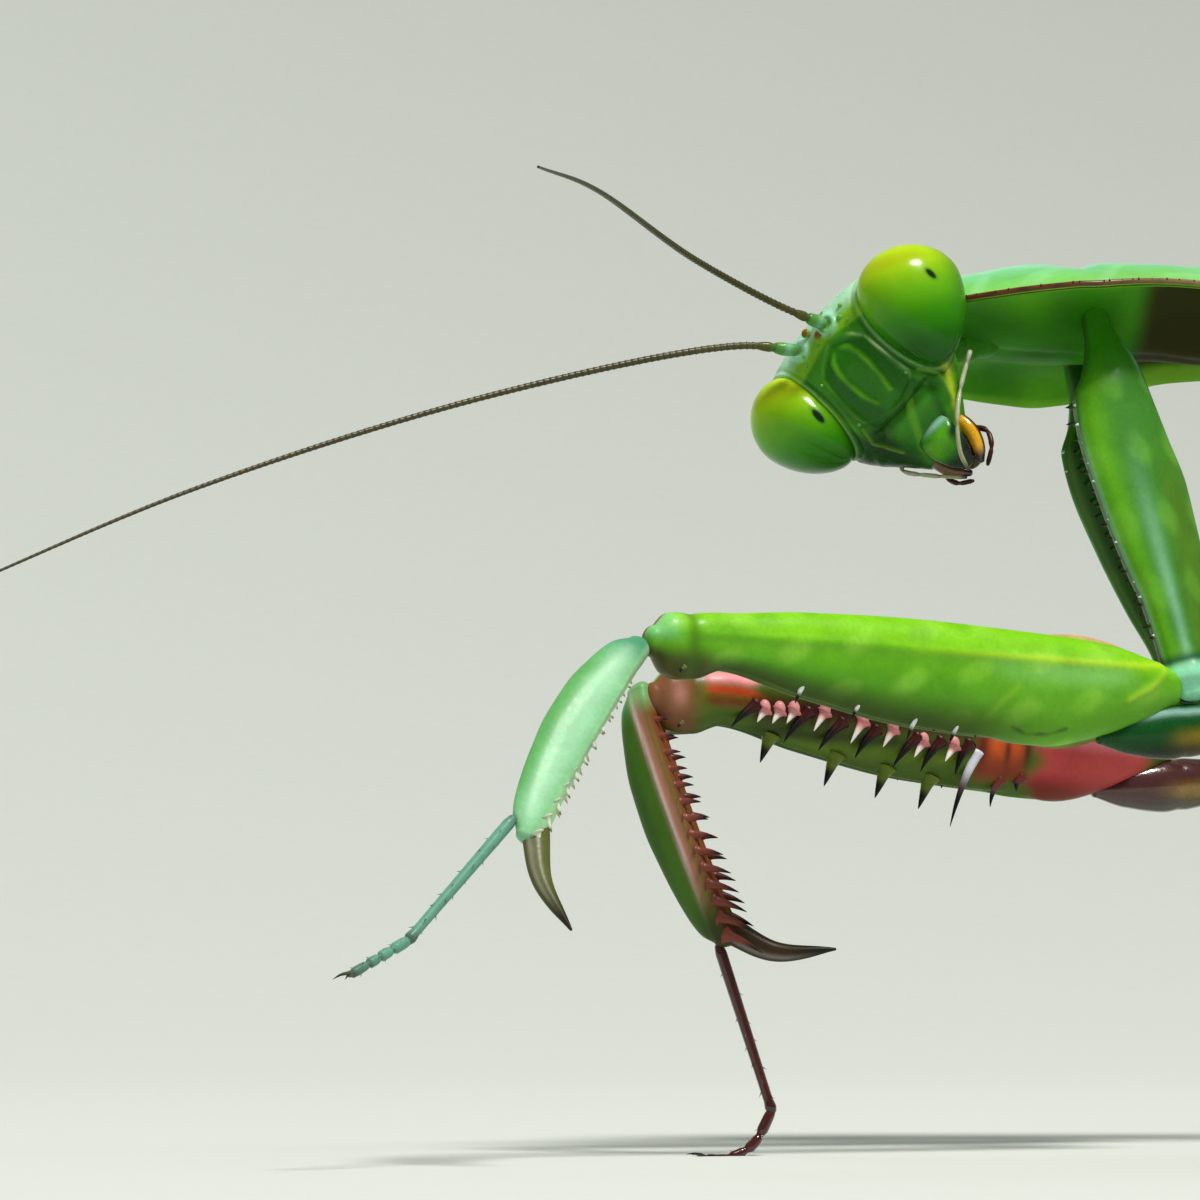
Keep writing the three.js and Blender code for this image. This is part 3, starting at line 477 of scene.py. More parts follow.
# ---------------------------------------------------------------- prothorax
# The shield: [station, half-width at the margin, height of the ridge, height of the margins].
SHIELD = np.array([
    [-7.3, 1.1, 0.9, 0],
    [-7.0, 2.5, 1.4, 0],
    [-6.2, 3.8, 1.9, 0],
    [-4.5, 4.8, 2.2, 0],
    [-2.4, 5.6, 2.5, 0],
    [-1.1, 5.9, 2.3, 0],
    [0, 5.85, 2.5, 0.1],
    [1.5, 5.5, 2.55, 0.3],
    [4, 4.6, 2.55, 0.55],
    [7, 4.2, 2.45, 0.6],
    [12, 3.5, 2.2, 0.5],
    [16, 2.9, 2.0, 0.4],
    [20, 2.1, 1.8, 0.3],
])
# What hangs under it: [station, depth of the keel, half-width of the keel].
KEEL = np.array([
    [-6.9, 0.0, 1.8],
    [-5.6, 0.1, 2.6],
    [-4.1, 0.2, 3.2],
    [-1.6, 0.35, 3.4],
    [0.4, 0.4, 3.2],
    [2.2, 0.4, 2.4],
    [4, 0.6, 1.9],
    [9.5, 0.9, 1.5],
    [14.6, 1.0, 1.3],
    [19.8, 1.1, 1.1],
])
RIM = 0.105


def arch(ridge, margin, t):
    return margin + (ridge - margin) * np.clip(1 - t * t, 0, 1) ** 1.2


def shield_stations(count, first=-7.3, last=20.0):
    """Stations along the shield, close together where its front end rounds off."""
    share = np.linspace(0, 1, count)
    return first + (last - first) * (0.35 * share**2 + 0.65 * share)


def pronotum():
    skin = Skin("pronotum", "shield", "shield", frame_of=PROTHORAX)
    x = shield_stations(260)[:, None]
    half, ridge, margin = (v[:, None] for v in through(SHIELD, x[:, 0]).T)
    t = np.sin(np.linspace(-1, 1, 130) * math.pi / 2)[None, :]
    y = half * t
    out = np.abs(t)
    edge = smooth(0.72, 1.0, out)
    # A fine middle line, the furrow over the coxae, and faint veins that fan out over the margins.
    furrow = bell(x, -1.1 + 0.05 * y**2, 0.32) * smooth(0.95, 0.3, out)
    line = bell(y, 0, 0.07) - 0.9 * bell(np.abs(y), 0.2, 0.08)
    fan = np.sin(2.4 * x + 1.7 * np.abs(y) + 0.8 * np.sin(1.3 * x))
    veins = smooth(0.2, 1.0, fan) * smooth(0.45, 0.7, out) * smooth(1.0, 0.9, out)
    ripple = 0.02 * np.sin(3.1 * x + 0.6) * smooth(0.2, 0.8, out)
    upper = arch(ridge, margin, t) + 0.25 - 0.13 * edge - 0.2 * furrow + 0.04 * line + ripple
    lower = arch(ridge, margin, t) - 0.22 + 0.1 * edge
    tint_top = paint(
        0x64C070,
        # Pale mint over the top of the shield, palest towards the front: a painted sheen of the light from
        # above.
        (0xA0ECC0, 0.75 * smooth(0.85, 0.25, out) * smooth(9, -4, x)),
        (0x7CC43E, 0.7 * smooth(0.6, 0.97, out)),
        (0x54A036, 0.6 * smooth(4, 15, x)),
        (TEAL, 0.3 * furrow),
        # A bluish-white band over the ridge near the coxae: a painted highlight.
        (0xC8ECE8, 0.55 * bell(x, 1.2, 3.5) * smooth(0.5, 0.1, np.abs(t + 0.1))),
        (0xBEECC8, 0.15 * veins),
        (YELLOW, 0.3 * bell(y, 0, 0.1) * smooth(-5, 2, x)),
    )
    sheet(skin, x, y, upper, lower, tint_top, paint(FOREST, (LIME, 0.5 * smooth(0.9, 0.98, out))))

    # The rim is a brown bead that carries small dark teeth along its front half.
    along = np.linspace(-7.15, 19.6, 240)
    for side in SIDES.values():
        width, _, height = through(SHIELD, along).T
        path = np.stack([along, side * (width - 0.02), height + 0.02], axis=-1)
        rim_tint = lambda at: paint(0x603210, (0x3A1A0A, 0.6 * bell(np.sin(at.far * 5), 1, 0.7)),
                                    (STRAW, 0.4 * smooth(6, 16, at.far)),
                                    (LEAF, 0.7 * smooth(14, 24, at.far)))
        limb(skin, path, round_table((0, 0.09), (0.1, RIM), (0.5, RIM), (1, 0.07)), rim_tint, rings=260,
             sides=12)
        for i in range(38):
            share = 0.02 + 0.5 * (i + 0.25 * math.sin(2.3 * i)) / 38
            place, _, _ = sweep(path, [share])
            outward = unit(np.array([-0.15, side * 1.0, 0.35]))
            size = 0.13 + 0.05 * math.sin(1.9 * i)
            root = place[0] + outward * 0.04
            thorn(skin, root, root + outward * size, 0.055, DARK_BROWN, rings=6, sides=8)
    skin.make()


def prosternum():
    """The soft green underside: a shallow keel between the margins, and dark brown behind the legs, partly
    the sternum's own colour and partly painted shade.
    """
    skin = Skin("prosternum", "underside", "cuticle", frame_of=PROTHORAX)
    x = np.linspace(-6.9, 19.8, 200)[:, None]
    half, ridge, margin = (v[:, None] for v in through(SHIELD, x[:, 0]).T)
    depth, keel = (v[:, None] for v in through(KEEL, x[:, 0]).T)
    t = np.sin(np.linspace(-1, 1, 140) * math.pi / 2)[None, :] * 0.985
    y = half * t
    full = np.exp(-np.abs(y / (1.12 * keel)) ** 2.5)
    out = np.abs(t)
    folds = 0.025 * np.sin(3.2 * np.abs(y) + 0.9 * x) * smooth(0.3, 0.5, out) * smooth(0.9, 0.7, out)
    middle = bell(y, 0, 0.25)
    lower = (arch(ridge, margin, t) - 0.2) * (1 - full) - depth * full + folds + 0.06 * middle
    upper = arch(ridge, margin, t) - 0.12
    # Dark brown behind the legs: partly the sternum's own brown, partly painted shade under the shield and
    # the coxae.
    brown_and_shade = smooth(1.0, 2.1, x) * smooth(0.9, 0.75, out)
    clouds = 0.5 + 0.5 * np.sin(1.1 * x + 1.3 * y + 1.2 * np.sin(0.9 * y)) * np.sin(0.8 * y - 0.5 * x)
    # The underside is painted brighter than its own green and lighter out towards the margins, as painted
    # light shining through the shield, and darker in the middle, as painted shade.
    tint_low = paint(
        0x328208,
        (0x68B818, 0.55 * clouds * smooth(0.1, 0.6, out)),
        (0x206404, 0.7 * (1 - clouds) * smooth(0.9, 0.4, out)),
        (0x2C2404, 0.95 * brown_and_shade * smooth(14, 7, x)),
        (0x7EB02C, 0.8 * smooth(0.78, 0.9, out) * smooth(1.5, 3.5, x)),
        (0x78BA32, 0.75 * smooth(0.9, 0.97, out)),
    )
    sheet(skin, x, y, upper, np.minimum(lower, upper - 0.02), paint(FOREST), tint_low)
    skin.make()


# ---------------------------------------------------------------- head
# It has its own frame, where the face looks along -x.
# Cross-sections from mouth to vertex: [height, half-width, front, back].
CAPSULE = np.array([
    [-4.7, 0.95, 0.6, 0.5],
    [-3.9, 1.6, 1.0, 0.7],
    [-3.2, 2.2, 1.25, 0.85],
    [-2.5, 2.65, 1.4, 0.95],
    [-1.4, 2.95, 1.55, 1.15],
    [-0.3, 3.1, 1.6, 1.45],
    [0.7, 3.3, 1.45, 1.55],
    [1.5, 3.2, 1.15, 1.35],
    [1.9, 2.6, 0.8, 1.0],
    [2.15, 1.6, 0.45, 0.6],
])
# Lines drawn on each half of the face: [distance from its middle, height].
FACE_PLATE = [(0, 0.9), (0.45, 0.8), (0.85, 0.5), (1.12, 0.1), (1.2, -0.6), (1.28, -1.4), (1.27, -1.95),
              (1.0, -2.25), (0, -2.5)]
FACE_RIDGE = [(0.2, 0.52), (0.42, 0.3), (0.53, -0.1), (0.56, -0.66), (0.5, -1.3), (0.36, -1.87)]
GENA_LINE = [(1.5, -2.1), (1.75, -2.7), (1.3, -3.7)]
# Where the antennae stand and where the ocelli lie: [to the right, height], with the ocelli's radius.
SOCKETS = {"left": (-0.44, 1.53), "right": (0.98, 1.67)}
OCELLI = [(0, 1.42, 0.2), (0.36, 1.86, 0.17), (-0.36, 1.86, 0.17)]
WARTS = [(1.22, 0.05, 0.08), (1.3, -1.9, 0.09), (0.98, 1.3, 0.12), (0.5, 1.98, 0.1), (0.3, 1.12, 0.1),
         (1.25, 1.62, 0.11), (1.15, 1.0, 0.08)]


class Egg:
    """An eye's shape: a unit ball drawn out into an egg and turned into its place on the head."""

    def __init__(self, name):
        side = SIDES[name]
        x, y, z = EYE["at"]
        self.size, self.at = EYE_SIZE[name], np.array([x, side * y, z])
        lean, pitch, turn = (EYE_TURN[key] for key in ("lean", "pitch", "turn"))
        self.turn = rotation((-side * lean, "X"), (pitch, "Y"), (side * turn, "Z"))

    def out(self, ball_at):
        x, y, z = np.moveaxis(np.asarray(ball_at, float), -1, 0)
        slim = 1 - EYE["narrowing"] * np.maximum(-z, 0) ** 2
        tall = np.where(z > 0, EYE["above"], EYE["below"])
        drawn = np.stack([x * slim * EYE["deep"], y * slim * EYE["wide"], z * tall], axis=-1)
        return drawn * self.size @ self.turn.T + self.at

    def depth(self, points):
        """1 for a point on the eye's surface, and less within it."""
        x, y, z = np.moveaxis((points - self.at) @ self.turn / self.size, -1, 0)
        z = z / np.where(z > 0, EYE["above"], EYE["below"])
        slim = 1 - EYE["narrowing"] * np.clip(-z, 0, 1.15) ** 2
        return np.sqrt((x / EYE["deep"] / slim) ** 2 + (y / EYE["wide"] / slim) ** 2 + z**2)


def head_capsule():
    skin = Skin("head_capsule", "face", "cuticle", frame_of=HEAD_FRAME)
    z = np.linspace(CAPSULE[0, 0], CAPSULE[-1, 0], 270)[:, None]
    half, front, back = through(CAPSULE, z[:, 0]).T[..., None]
    turn = np.linspace(0, 2 * math.pi, 340, endpoint=False)[None, :]
    turn = turn + 0.25 * np.sin(turn)
    cos, sin = np.cos(turn), np.sin(turn)
    # A fuller section than an ellipse, so that the face is broad and flat.
    cos, sin = np.sign(cos) * np.abs(cos) ** 0.85, np.sign(sin) * np.abs(sin) ** 0.92
    x = cos * np.where(cos > 0, back, front)
    y = sin * half
    z = z + 0 * y
    face = smooth(0.1, -0.35, cos)
    centred = y + 0.08 + 0.22 * smooth(-1.5, -3.2, z)
    across = np.abs(centred)
    left = smooth(0.1, -0.3, centred)

    plate = from_line(across, z, FACE_PLATE)
    within = smooth(1.24, 1.08, across) * smooth(-2.5, -2.25, z + 0.3 * across)
    within *= smooth(1.0, 0.8, z + 0.62 * across)
    ridge = stroke(across, z, FACE_RIDGE, 0.1) * smooth(0.7, 0.3, z) * (0.75 + 0.25 * np.sin(5 * z + 3 * y))
    edge = np.exp(-((plate / 0.06) ** 2)) * (0.6 + 0.4 * np.sin(4 * z + 2 * y))
    socket = np.minimum(*(np.hypot(y - y0, z - z0) for y0, z0 in SOCKETS.values()))
    mound = np.exp(-(np.hypot(y, z - 1.6) / 0.6) ** 2)
    gena = stroke(across, z, GENA_LINE, 0.07)
    clypeus = bell(z, -3.1, 0.36) * smooth(1.3, 0.9, across)
    seam = stroke(across, z, [(0, -2.66), (1.35, -2.5)], 0.06)
    at = np.stack([x, y, z], axis=-1)
    gap = np.minimum(Egg("left").depth(at), Egg("right").depth(at))
    rim, moat = bell(gap, 1.05, 0.03), bell(gap, 1.13, 0.04)
    crown = smooth(1.3, 2.0, z)
    grooves = (bell(across, 0.5, 0.06) + bell(across, 1.55, 0.08)) * smooth(-0.2, 0.4, cos + 0.8 * crown)
    pebbles = 0.003 * np.sin(17 * y + 3 * np.sin(5 * z)) * np.sin(15 * z + 2.5 * np.sin(6 * y))
    lift = (
        face * (0.06 * edge * (0.3 + 0.7 * left) + 0.07 * ridge - 0.07 * within)
        + face * (0.14 * clypeus - 0.08 * seam + 0.07 * gena)
        + 0.02 * face * np.sin(6 * y + 2 * np.sin(4 * z)) * np.sin(5 * z + y) * smooth(-2.2, -2.7, z)
        + face * (0.13 * bell(socket, 0.3, 0.12) + 0.16 * mound)
        + 0.05 * rim - 0.05 * moat - 0.05 * grooves + pebbles
    )
    normal = unit(np.stack([x / np.where(cos > 0, back, front) ** 2, y / half**2], axis=-1))
    x, y = x + normal[..., 0] * lift, y + normal[..., 1] * lift

    streaks = smooth(0.1, 0.9, np.sin(5.5 * across + 1.4 * z))
    streaks *= smooth(-1.4, -2.2, z) * smooth(1.3, 1.7, across)
    low = smooth(-2.4, -3.4, z)
    tint = paint(
        0x388014,
        (LEAF, 0.4 * smooth(0.0, 0.8, cos)),
        (0x28740C, 0.9 * face * within),
        (0x165408, 0.65 * face * within * smooth(0.45, 0.15, ridge) * smooth(0.2, 0.6, across)),
        (0x6EB610, 0.6 * face * ridge),
        (0x1A5210, 0.5 * face * smooth(0.3, 0.1, plate) * (1 - within) * smooth(0.0, -1.0, z)),
        (0xC4E0A0, 0.85 * face * edge * smooth(-0.6, -0.95, centred) * smooth(-2.3, -1.2, z)),
        (0x6EB214, 0.25 * face * edge * (1 - left)),
        (0x7CBA1E, 0.5 * face * bell(centred, 1.72, 0.09) * smooth(0.4, -0.3, z) * smooth(-2.4, -1.6, z)),
        (0x226C0E, 0.7 * low * face),
        (0x469C1A, 0.6 * face * clypeus),
        # The lower right cheek is near black: partly its own dark green, partly painted shade.
        (0x082A04, 0.9 * smooth(-1.7, -2.9, z) * smooth(0.5, 1.5, centred)),
        (0x0C3806, 0.6 * face * bell(z, -2.75, 0.3) * smooth(-1.0, -0.3, centred)),
        (0x6EB014, 0.5 * face * bell(np.sin(3.1 * z + 4.3 * y), 1, 0.3) * smooth(-2.3, -2.8, z)
         * smooth(1.2, 0.4, across)),
        (0x184E16, 0.7 * face * moat * smooth(1.4, 0.2, z)),
        (0x96CC24, 0.5 * face * smooth(0.95, 1.15, z + 0.2 * across) * smooth(1.7, 1.3, z)),
        # Pale mint over the vertex: a painted sheen of the light from above.
        (0xB8E6C4, 0.8 * smooth(1.3, 1.9, z + 0.1 * across)),
        # Bluish-white rings round the antennal sockets: painted glints.
        (0x96D8BE, 0.55 * face * bell(socket, 0.36, 0.12)),
        (0x3C8C3C, 0.7 * face * bell(socket, 0, 0.2)),
        (0x164212, 0.6 * face * streaks),
        (0x184C18, 0.6 * face * seam),
        (0xBACC28, 0.7 * bell(y / half, -0.9, 0.05) * smooth(-1.9, -2.4, z)),
        (0x0E3E08, 0.6 * face * bell(y / half, -0.62, 0.1) * smooth(-2.2, -2.8, z)),
        (0x80B828, 0.3 * face * gena),
        (0x96C882, 0.35 * rim),
    )
    skin.rings(np.stack([x, y, z], axis=-1), tint, first=(-0.05, 0, -4.75), last=(0.05, 0, 2.22))

    for y0, z0, size in OCELLI:
        bead = lambda z: paint(0x849628, (0x784210, 0.85 * smooth(0.1, 0.7, z)))
        ball(skin, (-1.28 + 0.32 * max(z0 - 1.4, 0), y0, z0), (size, size, size * 0.75), bead,
             axis=(-1, 0, 0.5))
    # Small warts stand along the frontal plate and beside the antennae.
    for side in SIDES.values():
        for y0, z0, size in WARTS:
            half, front, _ = through(CAPSULE, [z0])[0]
            x0 = -front * math.sqrt(max(1 - (y0 / half) ** 2, 0)) ** 0.85
            ball(skin, (x0 - 0.03, side * y0, z0), size * 0.85, 0x60A83C, rings=8, sides=12)
    skin.make()


# Where the false pupil lies on the egg's unit ball, its half-lengths, and how far it is turned.
PUPILS = {"left": ((0.06, -0.99, -0.13), (0.13, 0.25), 8),
          "right": ((-0.824, -0.007, -0.566), (0.14, 0.31), -4)}


def eye(name):
    """A compound eye, with the dark false pupil where it faces the front."""
    skin = Skin("eye_" + name, "eye", "eye", frame_of=HEAD_FRAME)
    egg = Egg(name)
    lat = np.linspace(0, math.pi, 190)[1:-1, None]
    angle = around(260)
    z = np.cos(lat) + 0 * angle
    ball_at = np.stack([np.sin(lat) * np.cos(angle), np.sin(lat) * np.sin(angle), z], axis=-1)
    at = egg.out(ball_at)
    where, (thin, long), turned = PUPILS[name]
    pupil = egg.out(unit(np.array(where)))
    outward = unit(pupil - egg.at)
    upward = unit(UP - outward * (UP @ outward))
    aside = np.cross(outward, upward)
    tilt = math.radians(turned)
    long_way = upward * math.cos(tilt) + aside * math.sin(tilt)
    from_pupil = at - pupil
    near = np.linalg.norm(from_pupil, axis=-1) < 1.2
    spot = np.hypot(from_pupil @ np.cross(outward, long_way) / thin, from_pupil @ long_way / long)
    # Paler towards the top and darker towards the bottom, measured partly along the world's up: partly the
    # eye's own colour, partly painted light from above and painted shade below.
    upwards = unit(HEAD_FRAME.turn.T @ UP + 0.7 * UP)
    brow = (at - egg.at) @ upwards
    tint = paint(
        0x60A410,
        (0xAACE0E, smooth(-0.5, 1.3, brow)),
        (0xCED828, 0.55 * smooth(1.1, 1.9, brow)),
        (0x287C04, 0.9 * smooth(-0.2, -1.4, brow)),
        (0x104C02, 0.85 * smooth(-1.1, -2.4, brow)),
        (0x2C6E12, 0.5 * smooth(0.1, 0.9, ball_at[..., 0])),
        (0x96600A, 0.3 * bell(brow, 1.0, 0.3) * smooth(-0.5, -1.4, at[..., 0])),
        (0x3C7614, 0.45 * near * bell(spot, 1.0, 0.45)),
        (0x10220C, near * smooth(1.15, 0.75, spot)),
    )
    skin.rings(at, tint, first=egg.out((0, 0, 1)), last=egg.out((0, 0, -1)))
    skin.make()


LABRUM_DARK = -1  # the side of the upper lip that is nearly black


def labrum():
    skin = Skin("labrum", "face", "cuticle", frame_of=HEAD_FRAME)
    table = [[0, 0.05, 0.3, 0.5], [0.2, 0.24, 0.35, 0.72], [0.45, 0.42, 0.35, 0.74], [0.8, 0.36, 0.3, 0.56],
             [1, 0.22, 0.22, 0.3]]

    def relief(at):
        return 0.1 * bell(at.share, 0.35, 0.12) * bell(at.out, 0, 0.5) - 0.06 * bell(at.share, 0.16, 0.05)

    def tint(at):
        return paint(
            0x24740C,
            (0x64B018, 0.7 * bell(at.share, 0.45, 0.2) * smooth(0, 0.4, at.high)),
            # Bluish-white at the top of the lip on its paler side: a painted highlight.
            (0xB0DCD6, 0.6 * bell(at.share, 0.2, 0.07) * smooth(-0.2, 0.3, at.high)
             * smooth(-0.6, 0.3, at.out * LABRUM_DARK)),
            (0x141E28, 0.85 * smooth(0.2, 0.6, at.out * LABRUM_DARK) * smooth(0.3, 0.5, at.share)),
            (0x143C0A, 0.6 * smooth(0.45, 0.75, -at.out * LABRUM_DARK)),
            (0x1C1424, 0.9 * smooth(0.66, 0.88, at.share + 0.12 * np.abs(at.out))),
        )

    path = [(-0.85, MOUTH_TURN, -3.5), (-0.9, MOUTH_TURN, -4.4), (-0.62, MOUTH_TURN, -5.6)]
    limb(skin, path, table, tint, up=(-1, 0, 0), relief=relief)
    skin.make()


def mandibles():
    skin = Skin("mandibles", "horn", "dark_horn", frame_of=HEAD_FRAME)
    table = [[0, 0.24, 0.36, 0.26], [0.45, 0.27, 0.36, 0.27], [0.8, 0.22, 0.28, 0.22], [1, 0.1, 0.12, 0.12]]

    def tint(at):
        shown = smooth(-0.1, 0.4, np.sin(at.angle) - 0.35 * np.cos(at.angle) ** 2)
        return paint(
            DARK_BROWN,
            # The right mandible is painted almost without its orange front, as painted shade.
            (0xE2A406, shown if side < 0 else 0.1 * shown),
            (BROWN, smooth(0.7, 0.9, at.share)),
            (BLACK, smooth(0.84, 0.96, at.share)),
            (DARK_BROWN, 0.7 * smooth(0.25, 0.05, at.share)),
        )

    for side in SIDES.values():
        path = [(-0.1, MOUTH_TURN + side * 0.75, -4.0), (-0.2, MOUTH_TURN + side * 0.85, -4.7),
                (-0.2, MOUTH_TURN + side * 0.68, -5.3), (-0.15, MOUTH_TURN + side * 0.3, -5.85)]
        limb(skin, path, table, tint, up=(-1, 0, 0), rings=50, sides=36)
        for i in range(3):
            root = np.array([-0.15, MOUTH_TURN + side * (0.5 - 0.09 * i), -5.3 - 0.14 * i])
            thorn(skin, root, root + np.array([-0.02, -side * 0.22, -0.12]), 0.07, BLACK, rings=8, sides=8)
    ball(skin, (-0.05, MOUTH_TURN, -5.1), (0.38, 0.6, 0.45), DARK_BROWN)
    skin.make()


def labium():
    skin = Skin("labium", "face", "cuticle", frame_of=HEAD_FRAME)
    table = [[0, 0.33, 0.3, 0.78], [0.5, 0.35, 0.3, 0.74], [0.85, 0.3, 0.25, 0.55], [1, 0.2, 0.2, 0.35]]
    tint = lambda at: paint(0x2E601C, (FOREST, 0.6 * bell(at.out, 0, 0.08)),
                            (BROWN, 0.6 * smooth(0.6, 1, at.share)))
    limb(skin, [(0.55, MOUTH_TURN, -4.0), (0.4, MOUTH_TURN, -5.6)], table, tint, up=(1, 0, 0), rings=50,
         sides=40)
    # A short jointed feeler at each side of it, dark and glossy.
    for side in SIDES.values():
        path = [(0.5, MOUTH_TURN + side * 0.75, -4.6), (0.3, MOUTH_TURN + side * 1.12, -5.15),
                (0.0, MOUTH_TURN + side * 0.95, -5.7), (-0.3, MOUTH_TURN + side * 0.4, -6.15)]
        jointed(skin, path, [0, 0.36, 0.7, 1], 0.11,
                lambda s: paint(DARK_BROWN, (BROWN, 0.4 * bell(s, 0.5, 0.3))))
    skin.make()


def jointed(skin, path, joints, radius, colour, sides=16, waist=0.72, taper=0.75):
    """A chain of short segments along a path, each pinched where it meets the next."""
    shares, sizes = [], []
    for a, b in zip(joints[:-1], joints[1:]):
        for t, size in ((0.02, waist), (0.2, 0.95), (0.75, 1.05), (0.98, waist)):
            shares.append(a + (b - a) * t)
            sizes.append(size * radius * (1 - (1 - taper) * shares[-1]))
    shares[0], shares[-1] = 0, 1
    table = [[share, size, size, size] for share, size in zip(shares, sizes)]

    def tint(at):
        ring = sum(bell(at.share, joint, 0.02) for joint in joints)
        return paint(colour(at.share), (DARK_BROWN, 0.45 * ring))

    limb(skin, path, table, tint, rings=24 * (len(joints) - 1), sides=sides)


PALP_ROUTES = {
    "left": [(0.7, -2.1, -3.1), (0.5, -3.0, -2.75), (-0.3, -2.25, -3.4), (-1.0, -1.65, -4.05),
             (-1.5, -1.1, -4.75), (-1.6, -0.62, -5.4), (-1.3, -0.32, -5.95)],
    "right": [(0.4, 1.2, -3.6), (0, 1.72, -3.87), (-0.2, 1.05, -4.89), (-0.3, 0.6, -5.4),
              (-0.3, 0.19, -5.87)],
}


def palp(name):
    skin = Skin("palp_" + name, "face", "cuticle", frame_of=HEAD_FRAME)
    pale = 0xA0A688
    colour = lambda s: paint(pale, (0x96825A, 0.4 * smooth(0.5, 0.9, s)),
                             (DARK_BROWN, 0.8 * smooth(0.9, 1, s)))
    jointed(skin, PALP_ROUTES[name], [0, 0.25, 0.45, 0.7, 1], 0.09, colour, taper=0.85)
    skin.make()


# ---------------------------------------------------------------- antennae
ANTENNA_SWEEP = {
    "left": [(-10.9, -5.75, 0.15), (-12.6, -6.8, 0.67), (-16, -10.5, 1.8), (-20.8, -21, 3), (-24, -31, 2.6)],
    "right": [(-11.8, -5.1, -0.75), (-13.9, -5.4, -0.65), (-22.6, -6.9, -2.55), (-33.4, -9.2, -6.15),
              (-42.1, -11.5, -10)],
}
BEAD = 0.24  # length of one ring of a flagellum


def antenna(name):
    route = ANTENNA_SWEEP[name]
    length = sweep(route, [0])[2]
    stretches = {"base": (0.042, 0.5, 0.135, 0.1), "tip": (0.497, 1, 0.102, 0.045)}
    for part, (start, stop, thick, thin) in stretches.items():
        skin = Skin(f"antenna_{name}_{part}", "antenna", "antenna")
        share = np.linspace(start, stop, 60)
        path = sweep(route, share)[0]
        beads = round((stop - start) * length / BEAD)
        steps = np.linspace(0, 1, beads * 6 + 1)
        phase = (steps * beads) % 1
        swell = 0.9 + 0.24 * phase**2 * smooth(1.0, 0.86, phase)
        radius = (thick + (thin - thick) * steps) * swell
        near_or_far = (0x54501E, 0.4 * smooth(0.3, 0.0, steps)) if part == "base" else (0x3A2E18, 0.5 * steps)
        olive = paint(0x423C14, near_or_far)
        dark = paint(olive, (0x282014, 0.75 * smooth(0.75, 0.95, phase) + 0.6 * smooth(0.15, 0.0, phase)))
        tube(skin, path, steps, radius, dark)
        skin.make()
    scape = Skin(f"antenna_{name}_scape", "face", "cuticle")
    path = sweep(route, np.linspace(0, 0.041, 12))[0]
    table = round_table((0, 0.22), (0.3, 0.24), (0.52, 0.2), (0.6, 0.15), (0.72, 0.18), (0.92, 0.16),
                        (1, 0.14))
    # Pale mint near the scape's root: a painted highlight.
    tint = lambda at: paint(0x508E38, (0x8CC8AA, 0.5 * bell(at.share, 0.2, 0.12)),
                            (0x245432, 0.7 * bell(at.share, 0.6, 0.05)),
                            (0x4C4A1C, 0.95 * smooth(0.45, 0.8, at.share)))
    limb(scape, path, table, tint, rings=60, sides=32)
    scape.make()


def tube(skin, path, steps, radius, tint, sides=12):
    """A round tube whose radius and colour are given at each step along a path."""
    places, along, _ = sweep(path, steps)
    side = unit(np.cross(along, UP))
    top = np.cross(side, along)
    angle = around(sides)
    ring = side[:, None] * np.cos(angle)[..., None] + top[:, None] * np.sin(angle)[..., None]
    rings = places[:, None] + ring * np.asarray(radius)[:, None, None]
    skin.rings(rings, np.asarray(tint).reshape(-1, 1, 3))


# ---------------------------------------------------------------- neck
def neck():
    skin = Skin("neck", "membrane", "membrane")
    path = [(-3.9, 0, 0.25), (-6.9, -0.6, -0.45), (-9.0, -3.7, -0.85)]
    relief = lambda at: 0.03 * np.sin(at.far * 9 + 0.6 * np.sin(3 * at.angle))
    tint = lambda at: paint(0x2E7A08, (0x3C8610, 0.4 * bell(np.sin(at.far * 9), 1, 0.6)))
    limb(skin, path, round_table((0, 0.7), (0.4, 0.8), (1, 0.85)), tint, relief=relief, rings=120, sides=60)
    skin.make()


# ---------------------------------------------------------------- fore legs
FORE_COXA = [
    [0, 0.3, 0.3, 0.3],
    [0.08, 0.45, 0.5, 0.5],
    [0.14, 0.6, 0.8, 0.75],
    [0.2, 1.0, 1.15, 1.05],
    [0.265, 1.7, 1.3, 1.2],
    [0.38, 1.88, 1.65, 1.15],
    [0.51, 1.73, 2.0, 1.05],
    [0.67, 1.38, 1.95, 0.95],
    [0.79, 1.0, 1.6, 0.85],
    [0.925, 0.88, 1.15, 0.8],
    [0.97, 0.95, 1.0, 0.8],
    [1, 0.6, 0.6, 0.5],
]
FORE_FEMUR = [
    [0, 0.7, 0.8, 0.6],
    [0.05, 1.0, 1.4, 0.9],
    [0.13, 1.35, 1.95, 1.1],
    [0.25, 1.5, 2.5, 1.15],
    [0.5, 1.6, 2.3, 1.05],
    [0.72, 1.45, 1.55, 0.9],
    [0.87, 1.15, 0.85, 0.8],
    [0.94, 1.05, 1.35, 0.8],
    [0.98, 0.9, 1.1, 0.7],
    [1, 0.5, 0.6, 0.5],
]
FORE_TIBIA = [
    [0, 0.3, 0.6, 0.4],
    [0.06, 0.28, 1.05, 0.55],
    [0.18, 0.2, 1.4, 0.6],
    [0.34, 0.18, 1.66, 0.6],
    [0.5, 0.18, 1.7, 0.56],
    [0.66, 0.22, 1.56, 0.53],
    [0.83, 0.3, 1.3, 0.48],
    [0.95, 0.38, 0.95, 0.42],
    [1, 0.35, 0.55, 0.35],
]
FORE_TROCHANTER = [
    [0, 0.85, 0.85, 0.7],
    [0.35, 1.0, 1.0, 0.85],
    [0.75, 0.78, 0.7, 0.65],
    [1, 0.25, 0.25, 0.3],
]
TIBIAL_CLAW = [
    [0, 0.5, 0.5, 0.35],
    [0.35, 0.42, 0.4, 0.3],
    [0.75, 0.24, 0.22, 0.2],
    [1, 0.05, 0.05, 0.05],
]
